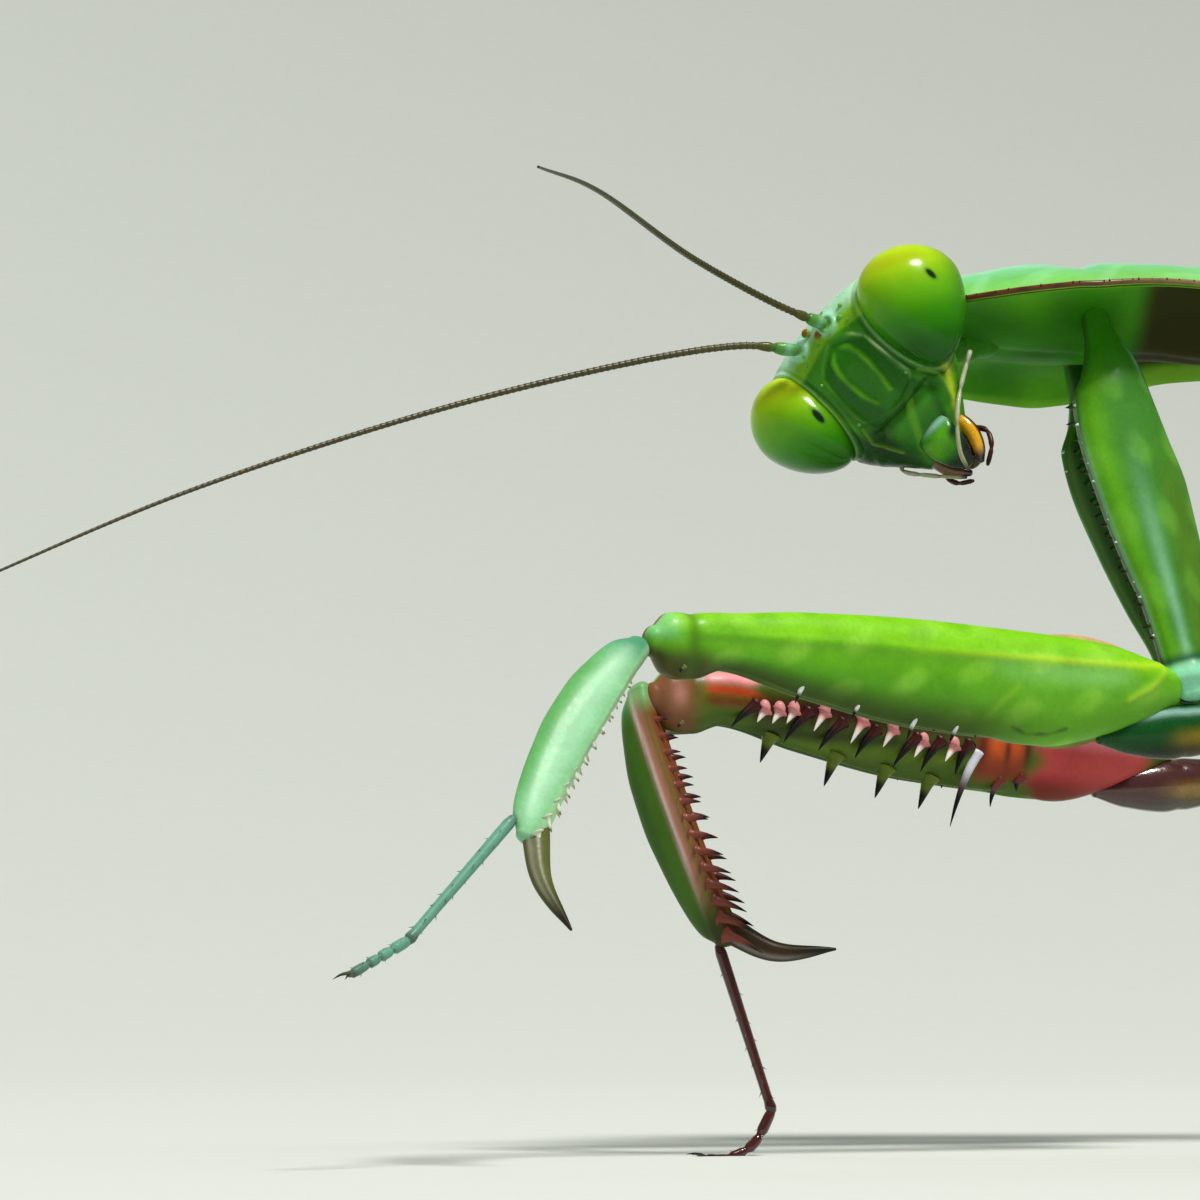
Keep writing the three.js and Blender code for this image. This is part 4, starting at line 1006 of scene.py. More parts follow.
# `joint` is the tibia's root seen from the femur's end, `twist` turns the tibia about its own
# length, and `ankle` sets the tarsus on it: [how far past its end, how far out from its middle].
FORE_LEG = {
    "left": {
        "hip": (-0.3, -2.16, 0.97), "femur_from": (1.66, -5.7, -12.85),
        "coxa": (130.7, -72.5), "femur": (19.5, 3.6), "joint": (-0.38, 0.03, -0.3),
        "tibia": (49, -44.3), "twist": 0, "claw": (121, -54), "ankle": (-0.24, 0.85),
        "basitarsus": (34, -42), "tarsus": [(36, -24, 2.7)],
    },
    "right": {
        "hip": (-0.15, 2.33, -0.4), "femur_from": (2.93, 1.2, -14.61),
        "coxa": (169, -70.6), "femur": (17, 3.9), "joint": (-0.36, 0.03, 0.23),
        "tibia": (145, -68.8), "twist": 50, "claw": (170, -6), "ankle": (0.15, 0.45),
        "basitarsus": (163, -72), "tarsus": [(15, -58, 1.4), (11, -25, 1.1), (11, 0, 0.8)],
    },
}


COXA_ROOT = 0.9  # length of a fore coxa that lies within the body


def fore_coxa(name, hip, end, forward, out):
    skin = Skin(f"fore_{name}_coxa", "cuticle", "cuticle")

    def relief(at):
        front = bell(at.angle, 1.45, 0.11) * smooth(0.12, 0.3, at.share)
        flat = -0.1 * bell(at.angle, 0.55, 0.4) * smooth(0.2, 0.45, at.share)
        rear = -0.08 * bell(at.angle, 5.6, 0.45) * smooth(0.25, 0.5, at.share)
        knee = 0.06 * bell(at.share, 0.965, 0.02) - 0.07 * bell(at.share, 0.93, 0.012)
        return 0.1 * front + flat + rear + knee

    def tint(at):
        shown = smooth(-0.2, 0.3, np.cos(at.angle))
        grown = smooth(0.1, 0.26, at.share)
        clouds = np.sin(1.6 * at.far + 1.9 * at.high) * np.sin(0.8 * at.far - 2 * at.high)
        green = paint(
            0x3E7E28,
            (0x62AA10, 0.8 * bell(at.angle, 1.05, 0.4) * grown),
            (0x547018, 0.6 * bell(at.angle, 5.7, 0.6) * smooth(0.3, 0.6, at.share)),
            (0x78BA3C, 0.3 * smooth(0.1, 0.9, clouds)),
            # A pale mint band down the outer face: a painted sheen.
            (0x96CEAA, 0.5 * bell(at.angle, 0.3, 0.2) * smooth(0.3, 0.8, at.share)),
            # A pale line along the front ridge: a painted highlight.
            (0x96D8AA, 0.8 * bell(at.angle, 1.45, 0.06) * smooth(0.3, 0.45, at.share)),
            # The top takes the underside's green, which is painted bright as light shining through the
            # shield.
            (0x328208, 0.9 * smooth(0.27, 0.14, at.share)),
            # A pale mint spot near the top, on the outer rear side: a painted highlight.
            (0x96D8B4, 0.6 * bell(at.angle, 5.7, 0.12) * bell(at.share, 0.2, 0.05)),
            (0x96E2BE, 0.8 * smooth(0.925, 0.96, at.share)),
            (0x0C463C, 0.8 * bell(at.share, 0.93, 0.01)),
        )
        inner = paint(0x1A4A08, (0x608C1E, 0.3 * bell(at.angle, 1.75, 0.15)))
        return paint(inner, (green, shown))

    along, length = unit(end - hip), np.linalg.norm(end - hip) + COXA_ROOT
    limb(skin, [hip - along * COXA_ROOT, end], FORE_COXA, tint, up=forward, out=out, relief=relief, rings=170,
         sides=90)
    # A row of small pale teeth runs down the front edge, and a darker one down its inner side.
    for row, (lean, count, shade) in enumerate([(0.03, 13, BONE), (-0.35, 15, DARK_BROWN)]):
        for i in range(count):
            share = 0.3 + 0.62 * (i + 0.3 * math.sin(3.1 * i)) / count
            rise, _, half = through(FORE_COXA, [share])[0]
            facing = unit(forward * math.cos(lean) + out * math.sin(lean))
            reach = math.hypot(rise * math.cos(lean), half * math.sin(lean))
            root = hip + along * (length * share - COXA_ROOT) + facing * (reach - 0.03)
            size = (0.26 if row == 0 else 0.36) * (0.75 + 0.25 * math.sin(2.1 * i))
            tone = lambda t, s=shade: paint(MINT if row == 0 else FOREST, (s, smooth(0.15, 0.6, t[:, 0])))
            thorn(skin, root, root + (facing + 0.25 * along) * size, 0.1, tone, rings=8, sides=10)
    skin.make()


def fore_trochanter(name, start, end, dorsal, out, glossy):
    skin = Skin(f"fore_{name}_trochanter", "horn" if glossy else "face", "cuticle")
    relief = lambda at: 0.08 * bell(at.angle, 0.9, 0.25) - 0.05 * bell(at.share, 0.3, 0.06)

    def tint(at):
        if glossy:
            base, line, low = 0x482222, 0xB48C96, 0x180A08
        else:
            base, line, low = 0x0E481A, 0xB4E2D8, BLACK
        return paint(
            base,
            (0x96780A, 0.75 * smooth(0.6, 0.2, at.share) * smooth(0.3, -0.3, at.high)),
            # A pale line along the upper edge: a painted highlight.
            (line, 0.5 * bell(at.angle, 0.75, 0.14)),
            (low, 0.8 * smooth(-0.3, -0.75, at.high)),
        )

    limb(skin, [start, end], FORE_TROCHANTER, tint, up=dorsal, out=out, relief=relief, rings=60, sides=60)
    skin.make()


def spine_tint(base, tip, start=0.3, stop=0.55):
    return lambda t: paint(base, (tip, smooth(start, stop, t[:, 0])))


# Spines of the femur: [share of its length, height over its middle line, length, lean forwards].
INNER_SPINES = [
    (0.82, 0.0, 1.37, 0.93), (0.72, -0.07, 1.64, 0.71), (0.655, -0.35, 1.52, 0.74), (0.59, -0.5, 1.44, 0.66),
    (0.51, -0.65, 1.6, 0.73), (0.465, -0.7, 1.5, 0.59), (0.41, -0.7, 1.4, 0.41),
]
SMALL_SPINES = [
    (0.805, -0.2, 0.55), (0.777, -0.2, 0.55), (0.75, -0.15, 0.55), (0.692, -0.1, 0.85),
    (0.618, -0.3, 1.0), (0.56, -0.5, 0.8), (0.5, -0.85, 0.7), (0.44, -0.9, 0.7),
]
OUTER_SPINES = {
    True: [(0.78, -1.15, 0.95), (0.655, -1.65, 1.12), (0.557, -1.95, 1.09), (0.47, -2.15, 1.15)],
    False: [(0.729, -1.2, 0.65), (0.62, -1.65, 0.55), (0.509, -1.95, 0.85), (0.428, -2.05, 0.75)],
}
DISCOIDAL_SPINES = [(0.39, -1.0, 3.05, 0.2), (0.335, -1.9, 1.15, 0.17), (0.295, -1.75, 0.6, 0.17)]


def fore_femur(name, start, forward, dorsal, out, facing_in):
    """`facing_in` is the leg that shows its rosy inner face to the other."""
    skin = Skin(f"fore_{name}_femur", "cuticle", "cuticle")
    length = FORE["femur"]
    end = start + forward * length
    down, inward = -dorsal, -out
    keel_line = [(0.6, 0.75), (1.6, 0.62), (4.2, 0.55), (8, 0.5), (14, 0.45), (19, 0.3)]
    arm_line = [(0.5, 0.55), (1.2, -0.1), (2.2, -0.65)]
    fold_line = [(6.8, -0.5), (7.4, -1.1), (7.9, -1.7)]
    scar_line = [(4.6, -1.85), (5.3, -2.1), (6.2, -2.15), (6.8, -1.95)]

    def relief(at):
        s, outer = at.share, np.cos(at.angle) > 0
        keel, arm = stroke(at.far, at.high, keel_line, 0.16), stroke(at.far, at.high, arm_line, 0.14)
        low = bell(at.angle, 1.5 * math.pi, 0.25)
        groove = smooth(0.3, 0.42, s) * smooth(0.99, 0.93, s)
        lips = sum(bell(at.angle, 1.5 * math.pi + side * 0.36, 0.13) for side in SIDES.values()) * groove
        knee = 0.08 * bell(s, 0.975, 0.02) - 0.07 * bell(s, 0.935, 0.012)
        face = outer * (0.05 * keel + 0.06 * arm - 0.04 * bell(at.high, 0.0, 0.4) * smooth(0.1, 0.2, s))
        lobes = 0.12 * bell(s, 0.872, 0.03) * bell(at.high, 0.8, 0.3)
        lobes += 0.16 * bell(s, 0.17, 0.07) - 0.12 * bell(s, 0.3, 0.05)
        beads = 0.05 * np.sin(11.4 * at.far) * bell(at.high, 0.2, 0.5)
        beads *= smooth(0.4, 0.5, s) * smooth(0.82, 0.75, s)
        return face + (~outer) * (lobes + beads) + knee - 0.3 * low * groove + 0.1 * lips

    def tint(at):
        s, h = at.share, at.high
        outer = smooth(-0.15, 0.15, np.cos(at.angle))
        reach = h / at.tall
        pale_clouds = np.sin(1.7 * at.far + 2.3 * h) * np.sin(0.9 * at.far - 1.4 * h)
        deep_clouds = np.sin(1.1 * at.far - 1.9 * h + 1) * np.sin(2.1 * at.far + h)
        green = paint(
            0x60A61A,
            # Brighter yellow-green over the top: partly the femur's own band, partly painted light from
            # above.
            (0x80CA0E, 0.85 * smooth(0.2, 0.8, h + 0.1 * np.sin(1.3 * at.far))),
            # Pale mint in the middle of the outer face: a painted sheen.
            (0x8CD06E, 0.6 * bell(h, 0.1, 0.45) * smooth(0.07, 0.14, s) * smooth(0.42, 0.3, s)),
            (0x46920C, 0.6 * bell(h, -0.9, 0.6) * smooth(0.3, 0.5, s)),
            (0x9CD846, 0.35 * smooth(0.1, 0.9, pale_clouds)),
            (0x5CA608, 0.35 * smooth(0.2, 0.9, deep_clouds)),
            (0xC4DE28, 0.5 * stroke(at.far, h, keel_line, 0.14) * smooth(0.6, 0.25, s)),
            (0xB8D628, 0.4 * stroke(at.far, h, arm_line, 0.13)),
            (0xA6CC28, 0.25 * stroke(at.far, h, fold_line, 0.12)),
            # Dark olive along the lower margin: painted shade.
            (0x2E3E04, 0.9 * smooth(-0.35, -0.9, reach) * smooth(0.2, 0.45, s)),
            (0x182206, 0.75 * stroke(at.far, h, scar_line, 0.06) * (0.7 + 0.3 * np.sin(7 * at.far))),
            (0x78C4A0, 0.45 * smooth(0.95, 0.995, s) * smooth(-0.2, 0.4, h)),
            # Dark brown-olive under the knee: painted shade.
            (0x40380E, 0.8 * smooth(0.1, -0.7, h) * smooth(0.87, 0.93, s)),
            (0x3C600E, 0.6 * bell(s, 0.94, 0.014)),
        )
        comb = smooth(0.38, 0.42, s) * smooth(0.84, 0.81, s)
        block_at = smooth(0.8, 0.835, s + 0.01 * np.sin(9 * h)) * smooth(0.93, 0.9, s)
        rosy = smooth(0.02, 0.07, s) * smooth(0.3, 0.25, s + 0.012 * np.sin(4 * h))
        spotted = smooth(0.285, 0.305, s) * smooth(0.41, 0.38, s)
        inside = paint(
            0x46640E,
            (0x609C20, 0.9 * smooth(0.8, 1.1, h)),
            # A dark maroon band along the comb: partly its own colour, partly a painted shadow cast by the
            # other femur.
            (0x38100E, 0.95 * comb * bell(h, -0.05, 0.62)),
            (0x222C06, 0.7 * comb * bell(h, -0.95, 0.22)),
            (0x607C10, 0.7 * comb * bell(h, -1.4, 0.25)),
            (0xC44246, 0.95 * rosy * smooth(-2.3, -1.9, h)),
            (0x760E0A, 0.9 * rosy * smooth(-1.3, -2.2, h)),
            (0xF08CA0, 0.8 * rosy * smooth(-0.8, -0.2, h)),
            (0x8C2212, 0.85 * spotted * smooth(-2.3, -1.7, h)),
            (0xD65C18, 0.75 * (bell(s, 0.316, 0.017) + bell(s, 0.355, 0.02)) * bell(h, -0.7, 0.45)),
            (0xEEBEBE, 0.9 * bell(s, 0.345, 0.022) * bell(h, -0.3, 0.16)),
            (0x3C0E0A, 0.8 * (bell(s, 0.293, 0.007) + bell(s, 0.333, 0.006) + bell(s, 0.385, 0.01))
             * bell(h, -0.9, 0.6)),
            (0xEE969E, 0.95 * block_at * bell(h, 0.85, 0.26)),
            (0xBE3218, 0.85 * block_at * bell(h, 0.4, 0.2)),
            (0x682418, 0.8 * block_at * bell(h, 0.0, 0.25)),
            (0x804834, 0.85 * smooth(0.9, 0.96, s)),
            (0xCE9288, 0.5 * bell(s, 0.965, 0.015) * bell(h, 0.1, 0.4)),
            (0x3C5406, 0.75 * smooth(-0.8, -0.97, reach) * (1 - rosy)),
        )
        return paint(inside, (green, outer))

    limb(skin, [start, end], FORE_FEMUR, tint, up=dorsal, out=out, relief=relief, rings=300, sides=130,
         box=0.92)

    def place(share, across, height):
        """A point on the femur: share of its length, and height and distance out from its middle line."""
        return start + forward * share * length + out * across + dorsal * height

    def inner_side(share, height):
        """How far in the inner face lies at that height."""
        rise, drop, half = through(FORE_FEMUR, [share])[0]
        return -half * math.sqrt(max(1 - (height / (rise if height > 0 else drop)) ** 2, 0.05)) * 0.95

    # The inner comb: large black spines and small white-tipped rosy ones by turns.
    for share, height, reach, slant in INNER_SPINES:
        aim = unit(forward * slant + down * 0.85 + inward * 0.15)
        root = place(share, inner_side(share, height) + 0.05, height)
        tone = lambda t: paint(0x3E1212, (BLACK, smooth(0.1, 0.5, t[:, 0])))
        reach = reach if facing_in else 0.6 * reach
        thorn(skin, root, root + aim * reach, 0.21, tone, curve=forward * 0.06, flare=0.45, rings=20,
              sides=18)
    for share, height, reach in SMALL_SPINES:
        root = place(share, inner_side(share, height) - 0.02, height)
        lean = unit(forward * 0.55 + down * 0.85 + inward * 0.2)
        tone = spine_tint(0xD88080, 0xF0E6DC, 0.15, 0.5)
        thorn(skin, root, root + lean * reach, 0.17, tone, flare=0.9)
        ball(skin, root + dorsal * 0.1, (0.23, 0.23, 0.3), paint(0xCE7476, (WHITE, 0.12)), rings=8, sides=14)
    # The outer row: four on broad bases, and a small one between each two.
    for share, height, reach in OUTER_SPINES[facing_in]:
        _, drop, half = through(FORE_FEMUR, [share])[0]
        root = place(share, inner_side(share, height) * (0.9 if facing_in else -0.92), height)
        lean = unit(down * 1.0 + forward * 0.35 - out * 0.05)
        base, radius, flare = (0x5C701A, 0.27, 0.7) if facing_in else (BONE, 0.13, 0.2)
        thorn(skin, root - lean * 0.1, root + lean * reach, radius, spine_tint(base, BLACK, 0.3, 0.6),
              flare=flare)
        low = place(share - 0.045, half * 0.3, -drop * 0.93)
        thorn(skin, low, low + lean * 0.22, 0.08, spine_tint(base, BLACK, 0.3, 0.6), rings=8, sides=10)
    # Long spines stand in the middle, behind the comb.
    for share, height, reach, radius in DISCOIDAL_SPINES:
        root = place(share, inner_side(share, height) + 0.1, height)
        lean = (0.93, 0.36, 0.1) if facing_in else (0.5, 0.3, 1)
        lean = unit(down * lean[0] + forward * lean[1] + inward * lean[2])
        # The long spine's bluish-white root part is a painted highlight.
        pale = 0xCED2DC if reach > 2 else 0x6E2C24
        streak = lambda t: paint(pale, (0x543C46, smooth(0.2, 0.5, t[:, 0])),
                                 (BLACK, smooth(0.4, 0.65, t[:, 0])))
        thorn(skin, root, root + lean * (reach if facing_in else reach * 0.6), radius, streak,
              curve=forward * 0.1, flare=0.3, rings=24, sides=20)
    # At the knee each side ends in a lobe with a small spine.
    for side in (1, -1):
        root = place(0.955, side * 0.55, -0.85)
        thorn(skin, root, root + unit(down * 0.8 + forward * 0.5 + out * side * 0.2) * 0.3, 0.1,
              spine_tint(0x70823C, DARK_BROWN), rings=8, sides=10)
    skin.make()


def fore_tibia(name, knee, end, claw_tip, grip, out, facing_in):
    skin = Skin(f"fore_{name}_tibia", "cuticle", "cuticle")
    shin = unit(end - knee)
    length = np.linalg.norm(end - knee)

    def relief(at):
        inner = bell(at.angle, math.pi / 2, 0.3)
        lips = bell(at.angle, math.pi / 2 - 0.5, 0.16) + bell(at.angle, math.pi / 2 + 0.5, 0.16)
        body = smooth(0.08, 0.2, at.share)
        ridge = bell(at.high, -0.35, 0.12) * smooth(0.1, 0.3, at.share) * (np.cos(at.angle) < 0)
        return body * (0.06 * lips - 0.1 * inner + 0.06 * ridge)

    def tint(at):
        near_edge = smooth(-0.1, 0.2, at.high)
        if facing_in:
            return paint(
                0x406C10,
                (0x284E08, 0.6 * smooth(-0.9, -1.4, at.high)),
                (0xAA6A58, 0.85 * bell(at.high, -0.22, 0.26) * smooth(1.0, 0.7, at.share)),
                (0xECC8C8, 0.75 * bell(at.high, -0.4, 0.09) * smooth(0.95, 0.6, at.share)),
                (0x783022, 0.85 * near_edge),
                (0x70BE78, 0.7 * smooth(0.12, 0.0, at.share)),
                (0x302C0E, 0.85 * smooth(0.8, 1.0, at.share) * smooth(-1.2, -0.4, at.high)),
            )
        return paint(
            0x70B476,
            (0xA0D4AC, 0.6 * bell(at.high, -0.5, 0.4)),
            (0x58A04E, 0.7 * smooth(-0.9, -1.5, at.high)),
            (0x2E8460, 0.8 * smooth(0.16, 0.02, at.share)),
            (0xC4D6B4, 0.5 * near_edge),
        )

    limb(skin, [knee, end], FORE_TIBIA, tint, up=grip, out=out, relief=relief, rings=150, sides=80)

    elbow = (end + shin * 0.55) * 0.6 + claw_tip * 0.4
    claw_tone = (0x3E2E1A, 0x16140A) if facing_in else (0x585C2C, 0x282414)
    # A pale line along one side of the claw: a painted glint.
    claw_tint = lambda at: paint(claw_tone[0], (claw_tone[1], smooth(0.45, 0.95, at.share)),
                                 (0xC8BEBE, 0.3 * bell(at.angle, 2.4, 0.25) * smooth(0.9, 0.5, at.share)))
    limb(skin, [end - shin * 0.4, elbow, claw_tip], TIBIAL_CLAW, claw_tint, up=shin, rings=70, sides=36)

    if facing_in:
        tones = (spine_tint(0x7A3E32, 0x1E0C08, 0.4, 0.85), spine_tint(0x5C2C1E, BLACK, 0.4, 0.8))
    else:
        tones = (spine_tint(BONE, 0xAAA078, 0.6, 0.9), spine_tint(0xD2DEBE, OLIVE, 0.6, 0.9))
    for row, (count, first, across) in enumerate([(14, 0.13, -0.26), (11, 0.2, 0.28)]):
        for i in range(count):
            share = first + (0.99 - first) * i / (count - 1)
            root = knee + shin * share * length + grip * 0.05 + out * across
            reach = (0.65 + 0.95 * share**2.2) * (1 if row == 0 else 0.8) * (1 if facing_in else 0.5)
            aim = unit(grip + shin * (0.3 + 0.75 * share**3) + out * across * 0.3)
            radius = (0.14 + 0.06 * share) if facing_in else 0.15
            thorn(skin, root, root + aim * reach, radius, tones[row], curve=-shin * 0.06 * reach, flare=0.9,
                  sides=14)
    skin.make()


def tarsomere_colours(facing_in):
    if facing_in:
        return 0x44140E, 0x240A08
    return 0x60967E, 0x465446


def fore_tarsus(name, ankle, heel, toes, facing_in):
    base, joint = tarsomere_colours(facing_in)
    skin = Skin(f"fore_{name}_basitarsus", "horn" if facing_in else "cuticle", "dark_horn")
    # A pale line along one side: a painted glint.
    tint = lambda at: paint(base, (joint, 0.8 * smooth(0.9, 1, at.share)),
                            (joint, 0.5 * smooth(0.08, 0, at.share)),
                            (0xB4968C, 0.2 * bell(at.angle, 1.2, 0.2)))
    table = round_table((0, 0.16), (0.05, 0.21), (0.5, 0.19), (0.93, 0.17), (0.98, 0.21), (1, 0.17))
    limb(skin, [ankle, heel], table, tint, rings=90, sides=28)
    bristles(skin, [ankle, heel], 0.18, 26, 0.2, joint)
    skin.make()

    skin = Skin(f"fore_{name}_tarsus", "horn" if facing_in else "cuticle", "dark_horn")
    colour = lambda s: paint(base, (joint, 0.6 * smooth(0.4, 1, s)))
    joints = [0, 0.3, 0.52, 0.72, 1]
    jointed(skin, toes, joints, 0.2, colour, sides=20, taper=0.8)
    bristles(skin, toes, 0.15, 18, 0.18, joint)
    claws(skin, toes, joint)
    skin.make()


def claws(skin, toes, tone, size=0.75):
    """Two curved claws at the end of a foot, side by side, with a little pad between."""
    end, along, _ = sweep(toes, [1.0])
    end, along = end[0], along[0]
    level = unit(np.array([along[0], along[1], 0]) + 1e-6)
    side = np.cross(level, UP)
    for turn in (1, -1):
        tip = end + level * size * 0.75 + side * turn * size * 0.42
        tip[2] = max(FLOOR + 0.06, end[2] - size * 0.25)
        thorn(skin, end - level * 0.08, tip, 0.09, spine_tint(tone, BLACK, 0.3, 0.8),
              curve=UP * 0.12 * size, rings=14, sides=12)
    ball(skin, end + level * 0.08, 0.12, paint(tone, (OLIVE, 0.5)), rings=8, sides=12)


def bristles(skin, path, radius, count, length, tone):
    """Stiff little hairs, leaning towards the tip, turned round the limb by a fixed step."""
    share = np.linspace(0.08, 0.95, count)
    places, along, _ = sweep(path, share)
    for i in range(count):
        side = unit(np.cross(along[i], UP))
        top = np.cross(side, along[i])
        angle = 2.4 * i
        facing = side * math.cos(angle) + top * math.sin(angle)
        root = places[i] + facing * radius * 0.85
        tip = root + (facing * 0.7 + along[i] * 0.8) * length
        tip[2] = max(tip[2], FLOOR + 0.02)
        thorn(skin, root, tip, 0.022, tone, flare=0.3, rings=5, sides=6)


def fore_leg(name, side):
    plan = FORE_LEG[name]
    facing_in = name == "right"
    hip, start = np.array(plan["hip"]), np.array(plan["femur_from"])
    forward = heading(*plan["femur"])
    across = unit(np.cross(forward, UP))
    out = across * np.sign(across[1]) * side
    dorsal = np.cross(across, forward)
    coxa_end = hip + heading(*plan["coxa"]) * FORE["coxa"]
    fore_coxa(name, hip, coxa_end, forward, out)
    tip = start + forward * 2.7 - dorsal * 2.0
    fore_trochanter(name, start - forward * 2.0 - dorsal * 1.3, tip, dorsal, out, facing_in)
    fore_femur(name, start, forward, dorsal, out, facing_in)

    knee = start + forward * FORE["femur"] + np.array(plan["joint"])
    shin = heading(*plan["tibia"])
    end = knee + shin * FORE["tibia"]
    claw_tip = end + heading(*plan["claw"]) * FORE["claw"]
    grip = unit(-forward + shin * (forward @ shin))
    twist = math.radians(plan["twist"])
    grip = grip * math.cos(twist) + np.cross(shin, grip) * math.sin(twist)
    shin_out = np.cross(shin, grip)
    shin_out = shin_out * np.sign(shin_out @ out)
    fore_tibia(name, knee, end, claw_tip, grip, shin_out, facing_in)

    past, out_from = plan["ankle"]
    ankle = end + shin * past - grip * out_from
    heel = ankle + heading(*plan["basitarsus"]) * FORE["basitarsus"]
    toes = [heel]
    for turn, rise, length in plan["tarsus"]:
        toes.append(toes[-1] + heading(turn, rise) * length)
    fore_tarsus(name, ankle, heel, toes, facing_in)


# ---------------------------------------------------------------- rear body, in its own frame
MESOTHORAX = [[0, 1.2, 1.3, 1.9], [0.2, 1.5, 2.6, 2.9], [0.6, 1.6, 3.3, 3.5], [1, 1.6, 3.4, 3.7]]
METATHORAX = [[0, 1.6, 3.4, 3.7], [0.5, 1.6, 3.5, 3.9], [1, 1.5, 3.1, 3.8]]
ABDOMEN = np.array([
    [0, 1.5, 3.1, 3.8],
    [0.12, 1.6, 3.5, 4.5],
    [0.25, 1.7, 3.7, 5.1],
    [0.4, 1.7, 3.7, 5.5],
    [0.55, 1.6, 3.5, 5.4],
    [0.7, 1.5, 3.0, 4.8],
    [0.82, 1.3, 2.5, 4.0],
    [0.92, 1.1, 2.0, 3.0],
    [1, 0.7, 1.2, 1.6],
])
SEGMENT = 0.118  # share of the abdomen that one of its rings takes
ABDOMEN_LENGTHS = {"front": (0, 2), "middle": (2, 4), "rear": (4, 6), "tip": (6, 8)}


def thorax_piece(name, table, start, stop):
    skin = Skin(name, "cuticle", "cuticle", frame_of=REAR_FRAME)

    def relief(at):
        plates = bell(np.sin(at.angle * 3 + 2 * at.share), 1, 0.25) * smooth(0.3, -0.2, np.sin(at.angle))
        seams = bell(at.share, 0.5 + 0.12 * np.cos(at.angle), 0.02) * smooth(0.3, -0.1, np.sin(at.angle))
        return -0.12 * plates - 0.12 * seams + 0.04 * np.sin(9 * at.share + 2 * np.sin(at.angle))

    def tint(at):
        seams = bell(at.share, 0.5 + 0.12 * np.cos(at.angle), 0.03)
        return paint(LEAF, (FRESH, 0.6 * bell(np.sin(at.angle), 0, 0.4)),
                     (STRAW, 0.35 * smooth(-0.7, -1, np.sin(at.angle))),
                     # Mint over the upper side: a painted sheen of the light from above.
                     (FOREST, 0.6 * seams), (MINT, 0.4 * smooth(0.3, 0.9, np.sin(at.angle))))

    limb(skin, [(start, 0, 0), (stop, 0, 0)], table, tint, relief=relief, rings=90, sides=140,
         ends=(0.25, 0.25))
    skin.make()


def abdomen_piece(name, first, last):
    skin = Skin("abdomen_" + name, "cuticle", "cuticle", frame_of=REAR_FRAME)
    stations = ABDOMEN[first:last + 1]
    begin, end = stations[0, 0], stations[-1, 0]
    at_x = lambda share: ABDOMEN_AT + (ABDOMEN_END - ABDOMEN_AT) * share
    table = np.column_stack([(stations[:, 0] - begin) / (end - begin), stations[:, 1:]])

    def ring_phase(at):
        return ((begin + at.share * (end - begin)) / SEGMENT + 0.35) % 1

    def relief(at):
        phase = ring_phase(at)
        step = 0.16 * (smooth(0, 0.86, phase) - smooth(0.9, 1.0, phase)) - 0.08
        side_fold = -0.2 * (bell(at.angle, 0.15, 0.09) + bell(at.angle, math.pi - 0.15, 0.09))
        keel = 0.1 * bell(at.angle, 1.5 * math.pi, 0.12)
        return step + side_fold + keel + 0.03 * np.sin(30 * phase + 3 * np.sin(3 * at.angle))

    def tint(at):
        phase = ring_phase(at)
        low = smooth(0.0, -0.5, np.sin(at.angle))
        return paint(
            LEAF,
            (FRESH, 0.5 * low),
            (STRAW, 0.35 * smooth(0.8, 0.95, phase) * low),
            (0x3C6E28, 0.6 * bell(phase, 0.97, 0.04)),
            (0xC4CE6E, 0.5 * (bell(at.angle, 0.12, 0.12) + bell(at.angle, math.pi - 0.12, 0.12))),
            (BROWN, 0.45 * bell(phase, 0.5, 0.1)
             * (bell(at.angle, 6.05, 0.06) + bell(at.angle, 3.37, 0.06))),
            (0xAAA050, 0.4 * smooth(0.35, 0.9, np.sin(at.angle))),
        )

    limb(skin, [(at_x(begin), 0, 0), (at_x(end), 0, 0)], table, tint, relief=relief, rings=130, sides=160,
         ends=(0.12, 0.12))
    if name == "tip":
        # The ovipositor shows between the last plates as a short dark-tipped beak.
        beak = lambda at: paint(LEAF, (BROWN, 0.8 * smooth(0.4, 0.9, at.share)))
        for side in SIDES.values():
            path = [(ABDOMEN_END - 2.4, side * 0.22, -0.9), (ABDOMEN_END - 0.4, side * 0.2, -1.1),
                    (ABDOMEN_END + 0.9, side * 0.14, -0.9)]
            limb(skin, path, [[0, 0.4, 0.4, 0.25], [0.6, 0.3, 0.34, 0.22], [1, 0.1, 0.1, 0.08]], beak,
                 rings=40, sides=24)
    skin.make()


def cercus(name, side):
    skin = Skin("cercus_" + name, "cuticle", "cuticle", frame_of=REAR_FRAME)
    path = [(ABDOMEN_END - 1.2, side * 1.9, -0.2), (ABDOMEN_END + 1.2, side * 2.75, -0.3),
            (ABDOMEN_END + 3.6, side * 3.3, -0.6)]
    joints = np.linspace(0, 1, 12)
    colour = lambda s: paint(LEAF, (OLIVE, 0.6 * smooth(0.3, 1, s)), (BROWN, 0.5 * smooth(0.8, 1, s)))
    jointed(skin, path, list(joints), 0.36, colour, sides=24, waist=0.85, taper=0.45)
    skin.make()


# ---------------------------------------------------------------- wings
TEGMEN = np.array([
    [2.2, 0.5, 2.6],
    [4.5, 0.25, 4.1],
    [7, -0.3, 5.2],
    [11, -1.8, 6.2],
    [18, -3.0, 7.0],
    [27, -3.4, 7.2],
    [36, -3.1, 6.6],
    [43, -2.1, 5.3],
    [48, -0.7, 3.4],
    [51, 0.8, 1.6],
])
HINDWING = np.array([
    [9, 0.2, 4.0],
    [13, -1.4, 5.2],
    [22, -2.6, 6.3],
    [31, -2.7, 6.3],
    [39, -2.1, 5.6],
    [45, -1.0, 4.0],
    [48.5, 0.4, 1.8],
])
LAYER = 0.65
WING_THICK = 0.16


def roof(across):
    return 1.75 - 2.0 * (np.abs(across) / 8) ** 2.2


